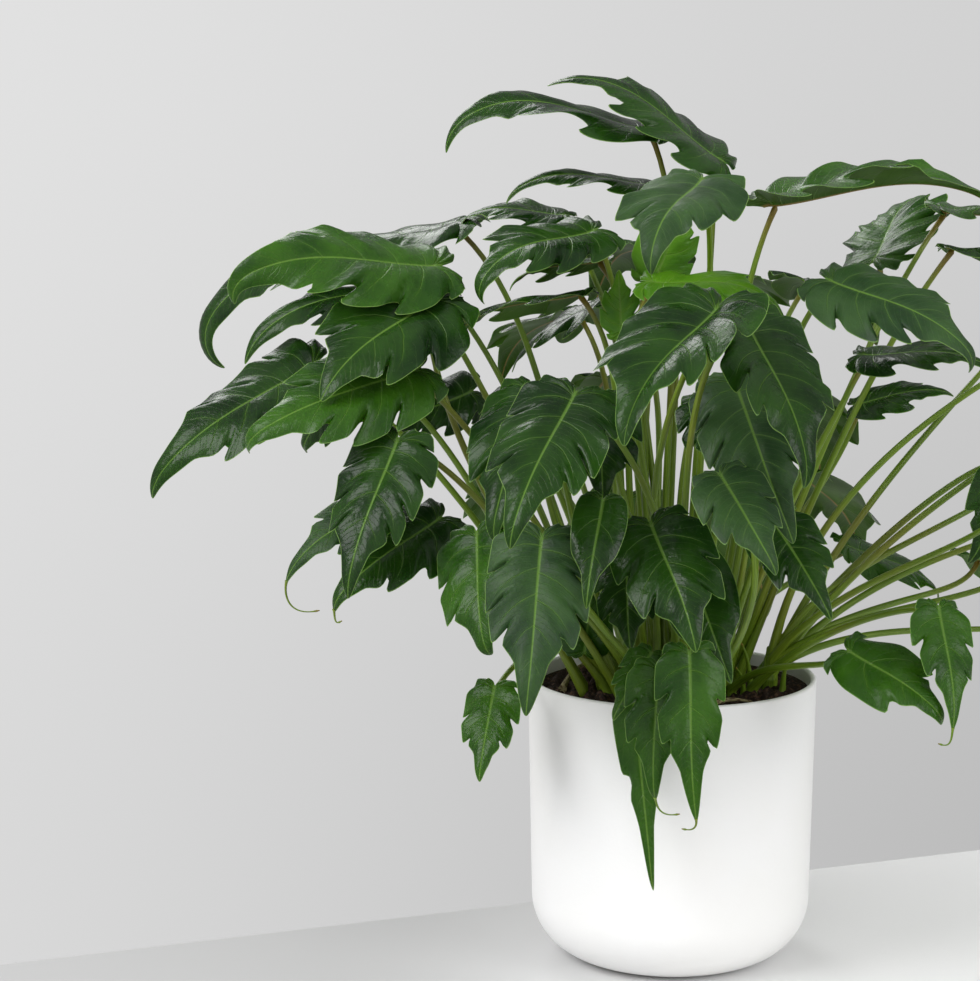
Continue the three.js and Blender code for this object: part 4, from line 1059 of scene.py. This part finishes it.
def leaf_finishes(look):
    """The materials of a leaf of one shade: its upper face, its underside and its stalk."""
    settings = bpy.context.scene.potted_plant_leaf
    dark, light, roughness = {
        "deep": (settings.deep, settings.deep_light, 0.23),
        "mid": (settings.mid, settings.mid_light, 0.27),
        # The greyer green paints a glancing sheen into the blade's colour
        "dusky": (settings.dusky, settings.painted_sheen_light, 0.44),
        "young": (settings.young, settings.young_light, 0.38),
    }[look]
    made = bpy.data.materials
    upper = made.get("blade_" + look) or blade_material("blade_" + look, dark, light, settings, roughness)
    under = made.get("blade_underside") or under_material(settings)
    stalk = made.get("stalk_skin") or stalk_material(settings)
    return upper, under, stalk


def colour_property(name, description, default):
    """A colour setting."""
    return bpy.props.FloatVectorProperty(
        name=name, description=description, default=default, subtype="COLOR", min=0.0, max=1.0
    )


def length_property(name, description, default):
    """A length setting, in metres."""
    return bpy.props.FloatProperty(name=name, description=description, default=default, unit="LENGTH")


class POTTED_PG_pot(bpy.types.PropertyGroup):
    """The pot's sizes and colour."""

    radius: length_property("Radius", "Outer radius at the rim", 0.125)
    height: length_property("Height", "Height from the foot to the rim", 0.248)
    taper: length_property("Taper", "How much narrower the pot is above its rounded foot", 0.0036)
    corner: length_property("Corner", "Radius of the rounded bottom edge", 0.054)
    wall: length_property("Wall", "Thickness of the wall", 0.005)
    floor: length_property("Floor", "Thickness of the floor", 0.008)
    rim: length_property("Rim rounding", "Radius of the rounded rim", 0.0024)
    glaze: colour_property("Glaze", "Colour of the satin glaze", (0.88, 0.88, 0.88))


class POTTED_PG_soil(bpy.types.PropertyGroup):
    """The soil's unevenness and colours."""

    bumps: length_property("Bumps", "How far the crumbs rise and fall", 0.003)
    peat: colour_property("Peat", "Colour of the wet peat", (0.022, 0.013, 0.009))
    crumbs: colour_property("Crumbs", "Colour of the dry crumbs", (0.09, 0.05, 0.03))
    sheath: colour_property("Sheath", "Colour of the dry sheaths on the soil", (0.3, 0.27, 0.13))


class POTTED_PG_leaf(bpy.types.PropertyGroup):
    """The colours of blades and stalks."""

    deep: colour_property("Deep green", "Dark part of most blades", (0.005, 0.021, 0.003))
    deep_light: colour_property("Deep green, light", "Light part of most blades", (0.017, 0.058, 0.005))
    mid: colour_property("Mid green", "Dark part of fresher blades", (0.011, 0.046, 0.003))
    mid_light: colour_property("Mid green, light", "Light part of fresher blades", (0.032, 0.1, 0.006))
    # Painted sheen: greyer greens that paint a glancing sheen into the colour of some blades
    dusky: colour_property("Dusky green", "Dark part of greyer blades", (0.012, 0.036, 0.01))
    painted_sheen_light: colour_property("Dusky green, light", "Light part of greyer blades", (0.034, 0.08, 0.021))
    young: colour_property("Young green", "Dark part of young blades", (0.042, 0.14, 0.004))
    young_light: colour_property("Young green, light", "Light part of young blades", (0.09, 0.23, 0.008))
    underside: colour_property("Underside", "Colour of the underside", (0.06, 0.15, 0.007))
    vein: colour_property("Vein", "Colour of the veins", (0.12, 0.23, 0.035))
    rib: colour_property("Midrib below", "Colour of the midrib's underside", (0.3, 0.2, 0.06))
    # Partly the edge's own colour and partly a painted highlight along the rim
    margin: colour_property("Margin", "Colour of the thin edge of a blade", (0.2, 0.33, 0.08))
    stalk: colour_property("Stalk", "Colour of the stalks", (0.1, 0.18, 0.007))
    stalk_light: colour_property("Stalk, light", "Colour of the stalks' streaks", (0.23, 0.34, 0.03))
    rust: colour_property("Rust", "Colour of the blush on stalks and knees", (0.24, 0.085, 0.02))
    glow: bpy.props.FloatProperty(
        name="Glow", description="How much light passes through a blade", default=0.3, subtype="FACTOR"
    )


class POTTED_PG_stage(bpy.types.PropertyGroup):
    """The floor, the backdrop and the light."""

    # Painted light: the floor is darker on the left and lighter on the right, to even out the main light's
    # fall-off
    floor: colour_property("Floor", "Tone of the floor on the left", (0.48, 0.48, 0.48))
    floor_right: colour_property("Floor, right", "Tone of the floor on the right", (0.92, 0.92, 0.92))
    # Painted shade: the backdrop's tones run darker to the right and lower down
    left: colour_property("Backdrop, left", "Tone of the backdrop at the upper left", (0.76, 0.76, 0.76))
    right: colour_property("Backdrop, right", "Tone of the backdrop at the upper right", (0.64, 0.64, 0.64))
    low_left: colour_property("Backdrop, lower left", "Tone at the lower left", (0.7, 0.7, 0.7))
    low_right: colour_property("Backdrop, lower right", "Tone at the lower right", (0.5, 0.5, 0.5))
    light: bpy.props.FloatProperty(
        name="Main light", description="Power of the large soft light", default=84.0, subtype="POWER"
    )
    front: bpy.props.FloatProperty(name="Front light", description="Soft light from the front", default=1.0)
    behind: bpy.props.FloatProperty(name="Back light", description="Soft light from behind", default=0.3)


class POTTED_OT_pot(bpy.types.Operator):
    """Makes the glazed pot"""

    bl_idname = "potted_plant.pot"
    bl_label = "Make the pot"

    def execute(self, context):
        s = context.scene.potted_plant_pot
        radius, height, rim = s.radius / MM, s.height / MM, s.rim / MM
        foot = radius - s.taper / MM
        wall, floor, corner = s.wall / MM, s.floor / MM, s.corner / MM
        inner = corner - wall
        inside = foot - wall
        up = np.linspace(0, 1, WALL_RINGS)[1:-1, None]
        low, high = np.array([foot, corner]), np.array([radius, height - rim])
        low_in, high_in = np.array([radius - wall, height - rim]), np.array([inside, floor + inner])
        profile = np.concatenate([
            [[ring, 0] for ring in (0, *FOOT_RINGS)],
            arc((foot - corner, corner), corner, -90, 0, FOOT_STEPS),
            low + (high - low) * up,
            arc((radius - rim, height - rim), rim, 0, 90, RIM_STEPS),
            arc((radius - wall + rim, height - rim), rim, 90, 180, RIM_STEPS),
            low_in + (high_in - low_in) * up,
            arc((inside - inner, floor + inner), inner, 0, -90, INSIDE_STEPS),
            [[FLOOR_RING, floor], [0, floor]],
        ])
        skin = Skin()
        turned(skin, profile, POT_SIDES, 0)
        piece = skin.make("glazed_pot", [glaze_material(s)])
        finish_piece(piece, "glaze", "pot")
        return {"FINISHED"}


def glaze_material(settings):
    """A matt satin glaze, off-white, with a very faint mottling and an uneven sheen."""
    tree = Surface("satin_glaze", 0.4, 0.4)
    soft = tree.ramp(tree.noise(7.0, 3.0), 0.3, 0.7)
    warm = tuple(x * k for x, k in zip(settings.glaze, (0.985, 0.98, 0.965)))
    tree.paint(tree.mix(soft, shade(settings.glaze), shade(warm)))
    tree.feed(tree.shader.inputs["Roughness"], tree.line(tree.noise(40.0, 4.0), 0.12, 0.34))
    tree.bump(tree.noise(260.0, 3.0), 0.00012)
    return tree.material


def peat_material(settings):
    """Wet peat: nearly black, with drier brown crumbs and a few pale fibres."""
    tree = Surface("peat_crumbs", 0.9, 0.25)
    crumbs = tree.ramp(tree.noise(240.0, 4.0), 0.5, 0.68)
    pale = tree.ramp(tree.noise(620.0, 2.0), 0.68, 0.75)
    colour = tree.mix(crumbs, shade(settings.peat), shade(settings.crumbs))
    tree.paint(tree.mix(tree.times(pale, 0.5), colour, (0.3, 0.22, 0.14, 1.0)))
    tree.bump(tree.noise(300.0, 5.0), 0.0025)
    return tree.material


def sheath_material(settings):
    """A dry sheath that has dropped on the soil: pale buff, with darker streaks along it."""
    tree = Surface("dry_sheath", 0.7, 0.2)
    turn, travelled = tree.pair("leaf")
    inputs = {0: turn, 1: tree.times(travelled, 0.02)}
    streak = tree.ramp(tree.noise(9.0, 2.0, tree.node("CombineXYZ", inputs).outputs[0]), 0.4, 0.65)
    tree.paint(tree.mix(streak, shade(settings.sheath), shade(settings.crumbs)))
    tree.bump(tree.noise(200.0, 3.0), 0.0004)
    return tree.material


class POTTED_OT_soil(bpy.types.Operator):
    """Makes the peat that fills the pot"""

    bl_idname = "potted_plant.soil"
    bl_label = "Make the soil"

    def execute(self, context):
        s = context.scene.potted_plant_soil
        low, high = (np.array(corner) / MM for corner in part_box("soil"))
        radius, base, top = high[0] - SOIL_GAP, low[2], high[2]
        rng = np.random.default_rng(SEED)
        waves = rng.uniform(-1, 1, (SOIL_WAVES, 2)) * rng.uniform(*WAVES_A_MM, (SOIL_WAVES, 1)) * 2 * np.pi
        offsets = rng.uniform(0, LAST_OFFSET, SOIL_WAVES)
        rise = s.bumps / MM

        def crumbs(places):
            """Sines of many directions and lengths are added, and only the top moves, less at the wall."""
            x, y, z = np.moveaxis(places, -1, 0)
            total = sum(np.sin(wave[0] * x + wave[1] * y + o) for wave, o in zip(waves, offsets))
            lift = rise * (WAVE_SHARE * total * ease(0, CALM_AT_WALL, radius - np.hypot(x, y)) - 0.5)
            return np.stack([x, y, z + np.where(z > top - 1, lift, 0)], -1)

        steps = np.linspace(radius, 0, SOIL_RINGS)
        narrow = radius - SOIL_TAPER
        profile = np.concatenate([
            [[0, base]],
            arc((narrow - SOIL_CORNER, base + SOIL_CORNER), SOIL_CORNER, -90, 0, 12),
            [[radius, top]],
            np.stack([steps[1:], np.full(len(steps) - 1, top)], -1),
        ])
        skin = Skin()
        turned(skin, profile, SOIL_SIDES, 0, crumbs)
        for path in SHEATHS:
            add_stalk(skin, np.array(path, float), NO_POINTS, SHEATH_RADII, 1)
        piece = skin.make("peat_soil", [peat_material(s), sheath_material(s)])
        finish_piece(piece, "peat", "soil")
        return {"FINISHED"}


class GroupOfLeaves:
    """Makes every leaf whose node's name starts with the group's prefix"""

    def execute(self, context):
        for seed, row in enumerate(LEAVES):
            if row[0].startswith(self.prefix):
                make_leaf(row, seed)
        return {"FINISHED"}


class POTTED_OT_left(GroupOfLeaves, bpy.types.Operator):
    """Makes the leaves on the left"""

    bl_idname = "potted_plant.left_leaves"
    bl_label = "Make the left leaves"
    prefix = "leaf_left"


class POTTED_OT_top(GroupOfLeaves, bpy.types.Operator):
    """Makes the leaves at the top"""

    bl_idname = "potted_plant.top_leaves"
    bl_label = "Make the top leaves"
    prefix = "leaf_top"


class POTTED_OT_middle(GroupOfLeaves, bpy.types.Operator):
    """Makes the leaves in the middle"""

    bl_idname = "potted_plant.middle_leaves"
    bl_label = "Make the middle leaves"
    prefix = "leaf_middle"


class POTTED_OT_front(GroupOfLeaves, bpy.types.Operator):
    """Makes the small leaves at the front"""

    bl_idname = "potted_plant.front_leaves"
    bl_label = "Make the front leaves"
    prefix = "leaf_front"


class POTTED_OT_right(GroupOfLeaves, bpy.types.Operator):
    """Makes the leaves on the right"""

    bl_idname = "potted_plant.right_leaves"
    bl_label = "Make the right leaves"
    prefix = "leaf_right"


def add_stem(skin, axis, height):
    """Adds a short stem: a tube that narrows towards a domed top, with a ring where each old leaf was, each
    a bell curve of the height above it."""
    base, top = SOIL_TOP - STEM_DEPTH, SOIL_TOP + height
    z = np.linspace(base, top - DOME_HEIGHT, STEM_RINGS)
    scars = SCAR_HEIGHT * np.exp(-(((z - SOIL_TOP) % SCAR_PITCH - SCAR_PITCH / 2) / SCAR_WIDTH) ** 2)
    narrowing = 1 - STEM_NARROWING * ease(STEM_NARROW_FROM, 1, (z - base) / (top - base))
    width = (STEM_RADIUS - STEM_INSET + scars) * narrowing
    dome = arc((0, 0), 1.0, 0, 90, 5) * (width[-1], DOME_HEIGHT) + (0, top - DOME_HEIGHT)
    profile = np.concatenate([[[0, base]], np.stack([width, z], -1), dome[1:-1], [[0, top]]])
    turned(skin, profile, STEM_SIDES, STALK_FINISH, lambda places: places + axis)


def add_spears(skin, axis):
    """Adds the young spears round a stem: thin tapered stalks that rise from the soil and lean outward."""
    for across, deep, tall in SPEARS:
        foot = axis + (across, deep, SOIL_TOP - FOOT_IN_SOIL)
        rise = np.array([0, 0, tall])
        lean = np.array([across, deep, 0.0]) * tall / SPEAR_LEAN
        path = [foot, foot + rise / 2, foot + rise * SPEAR_BEND + lean / 2, foot + rise + lean]
        add_stalk(skin, path, NO_POINTS, SPEAR_RADII, STALK_FINISH)


def make_stem(name, place, height, rows, seed):
    """A stem with its leaves as one piece. Its stalks start up its side, the first lowest, and their
    sheaths run down it into the soil."""
    axis = np.array([*place, 0.0])
    points = node_points(name)
    skin = Skin()
    add_stem(skin, axis, height)
    for row, share in zip(rows, np.linspace(*STEM_SHARES, len(rows))):
        leaf = Leaf(name, *row, seed)
        seed += 1
        blade = find_blade(leaf, points)
        toward = unit((blade.knee - axis) * (1, 1, 0))
        start = axis + (0, 0, SOIL_TOP + height * share) + toward * STEM_FOOT * STEM_RADIUS
        add_blade(skin, blade, STEM_FINISHES[leaf.shade], UNDER_FINISH)
        foot = np.array([[start[0], start[1], SOIL_TOP - FOOT_IN_SOIL]])
        add_stalk(skin, find_stalk(blade, start, points), foot, FINE_RADII, STALK_FINISH)
    add_spears(skin, axis)
    finishes = [*leaf_finishes("deep"), leaf_finishes("mid")[0], leaf_finishes("dusky")[0]]
    piece = skin.make(name.removeprefix("stem_") + "_stem", finishes)
    finish_piece(piece, "leaf", name)


class POTTED_OT_stems(bpy.types.Operator):
    """Makes the short stems and the leaves that they carry"""

    bl_idname = "potted_plant.stems"
    bl_label = "Make the stems"

    def execute(self, context):
        seed = len(LEAVES)
        for name, place, height, rows in STEMS:
            make_stem(name, place, height, rows, seed)
            seed += len(rows)
        return {"FINISHED"}


class POTTED_OT_stage(bpy.types.Operator):
    """Makes the floor, the backdrop, the light and the camera"""

    bl_idname = "potted_plant.stage"
    bl_label = "Make the stage"

    def execute(self, context):
        s = context.scene.potted_plant_stage
        scene = context.scene
        scene.view_settings.view_transform = "Standard"
        camera = bpy.data.cameras.new("camera")
        camera.sensor_width = 36.0
        camera.lens = CAMERA_FOCUS / PHOTO_WIDTH * camera.sensor_width
        view = bpy.data.objects.new("camera", camera)
        view.location = EYE * MM
        view.rotation_euler = (math.pi / 2 - CAMERA_PITCH, 0, CAMERA_YAW)
        scene.collection.objects.link(view)
        scene.camera = view

        floor = make_floor(s)
        make_world(s)
        for name, place, size, share in LIGHTS:
            lamp = bpy.data.lights.new(name, "AREA")
            lamp.shape = "DISK"
            lamp.size = size
            lamp.energy = s.light * share
            holder = bpy.data.objects.new(name, lamp)
            holder.location = place
            holder.rotation_euler = aim_angles(np.array(LIT_POINT) - np.array(place))
            scene.collection.objects.link(holder)
        return {"FINISHED"}


def aim_angles(aim):
    """The turn that points a light's own -Z along a direction."""
    flat = math.hypot(aim[0], aim[1])
    return math.pi / 2 + math.atan2(aim[2], flat), 0, math.atan2(-aim[0], aim[1])


def make_floor(settings):
    """A wide flat disc. Past the line where the photo's floor ends it takes the backdrop's own tone, and it
    fades to that tone far out and in front of the pot."""
    turn = np.linspace(0, 2 * np.pi, FLOOR_SIDES + 1)[:-1]
    rings = np.array(FLOOR_RINGS)
    places = np.stack([
        rings[:, None] * np.cos(turn), rings[:, None] * np.sin(turn), np.zeros((len(rings), len(turn)))
    ], -1).reshape(-1, 3)
    ids = np.arange(len(places)).reshape(len(rings), -1)
    ids = np.concatenate([ids, ids[:, :1]], axis=1)
    _, faces = triangles_of(ids, False)
    centre = [[len(places), ids[0, k], ids[0, k + 1]] for k in range(len(turn))]
    mesh = bpy.data.meshes.new("floor")
    mesh.from_pydata(np.concatenate([places, [[0, 0, 0]]]), [], np.concatenate([faces, centre]))
    tree = Surface("floor_tones", 0.6, 0.2)
    at = tree.node("TexCoord", {}).outputs["Object"]
    parts = tree.node("SeparateXYZ", {0: at})
    # Painted light: the tone turns from the darker left to the lighter right, evening out the main light's
    # fall-off
    spread = tree.ramp(parts.outputs[0], *FLOOR_TURNS)
    tree.paint(tree.mix(spread, shade(settings.floor), shade(settings.floor_right)))
    line = tree.line(parts.outputs[0], -FLOOR_SLOPE, parts.outputs[1])
    past = tree.ramp(line, FLOOR_LINE, FLOOR_LINE + FLOOR_EDGE)
    away = tree.node("VectorMath", {0: at}, operation="LENGTH").outputs["Value"]
    past = tree.math("MAXIMUM", past, tree.ramp(away, *FLOOR_FAR))
    past = tree.math("MAXIMUM", past, tree.rest(tree.ramp(parts.outputs[1], *FLOOR_FRONT)))
    # Past the line, far out and in front of the pot, the floor is not lit but glows: an emission in the
    # backdrop's tones, with their painted shade
    seen = tree.node("VectorMath", {0: at, 1: tuple(EYE * MM)}, operation="SUBTRACT").outputs[0]
    direction = tree.node("VectorMath", {0: seen}, operation="NORMALIZE").outputs[0]
    tone = backdrop_tone(tree, direction, settings)
    glow = tree.node("Emission", {"Color": tone})
    both = tree.node("MixShader", {0: past, 1: tree.shader.outputs[0], 2: glow.outputs[0]})
    output = tree.nodes["Material Output"]
    tree.links.new(both.outputs[0], output.inputs["Surface"])
    mesh.materials.append(tree.material)
    floor = bpy.data.objects.new("floor", mesh)
    bpy.context.scene.collection.objects.link(floor)
    return floor


def backdrop_tone(tree, direction, settings):
    """The backdrop's colour in a direction: darker to the right of the photo, and lower down."""
    # Painted shade: the right and the lower tones are darker
    parts = tree.node("SeparateXYZ", {0: direction}).outputs
    across = tree.ramp(parts[0], *TONES_ACROSS)
    up = tree.ramp(parts[2], *TONES_UP)
    left = tree.mix(up, shade(settings.low_left), shade(settings.left))
    right = tree.mix(up, shade(settings.low_right), shade(settings.right))
    return tree.mix(across, left, right)


def make_world(settings):
    """A backdrop that the camera sees, and a soft light from all round that is strongest in front."""
    world = bpy.data.worlds.new("studio")
    bpy.context.scene.world = world
    world.use_nodes = True
    tree = Tree(world.node_tree)
    direction = tree.node("TexCoord", {}).outputs["Generated"]
    # The backdrop that the camera sees carries painted shade, darker to the right and lower down
    seen = tree.node("Background", {"Color": backdrop_tone(tree, direction, settings)})
    depth = tree.node("SeparateXYZ", {0: direction}).outputs[1]
    span = {"From Min": -1, "From Max": 1, "To Min": settings.front, "To Max": settings.behind}
    strength = tree.node("MapRange", {"Value": depth, **span}).outputs[0]
    felt = tree.node("Background", {"Color": (1, 1, 1, 1), "Strength": strength})
    path = tree.node("LightPath", {})
    both = tree.node("MixShader", {0: path.outputs[0], 1: felt.outputs[0], 2: seen.outputs[0]})
    tree.node("OutputWorld", {"Surface": both.outputs[0]})


class POTTED_PT_panel(bpy.types.Panel):
    """Lists the plant's pieces"""

    bl_label = "Potted plant"
    bl_idname = "POTTED_PT_panel"
    bl_space_type = "VIEW_3D"
    bl_region_type = "UI"
    bl_category = "Potted plant"

    def draw(self, context):
        for step in STEPS:
            self.layout.operator(step.bl_idname)


STEPS = (
    POTTED_OT_stage,
    POTTED_OT_pot,
    POTTED_OT_soil,
    POTTED_OT_left,
    POTTED_OT_top,
    POTTED_OT_middle,
    POTTED_OT_front,
    POTTED_OT_right,
    POTTED_OT_stems,
)
SETTINGS = {
    "potted_plant_pot": POTTED_PG_pot,
    "potted_plant_soil": POTTED_PG_soil,
    "potted_plant_leaf": POTTED_PG_leaf,
    "potted_plant_stage": POTTED_PG_stage,
}


def register():
    """Registers the settings, the operators and the panel."""
    for name, group in SETTINGS.items():
        bpy.utils.register_class(group)
        setattr(bpy.types.Scene, name, bpy.props.PointerProperty(type=group))
    for step in (*STEPS, POTTED_PT_panel):
        bpy.utils.register_class(step)


def unregister():
    """Takes everything away that register added."""
    for step in (*STEPS, POTTED_PT_panel):
        bpy.utils.unregister_class(step)
    for name, group in SETTINGS.items():
        delattr(bpy.types.Scene, name)
        bpy.utils.unregister_class(group)


def main():
    """Makes every piece in order."""
    register()
    for step in STEPS:
        module, name = step.bl_idname.split(".")
        getattr(getattr(bpy.ops, module), name)()


if __name__ == "__main__":
    main()
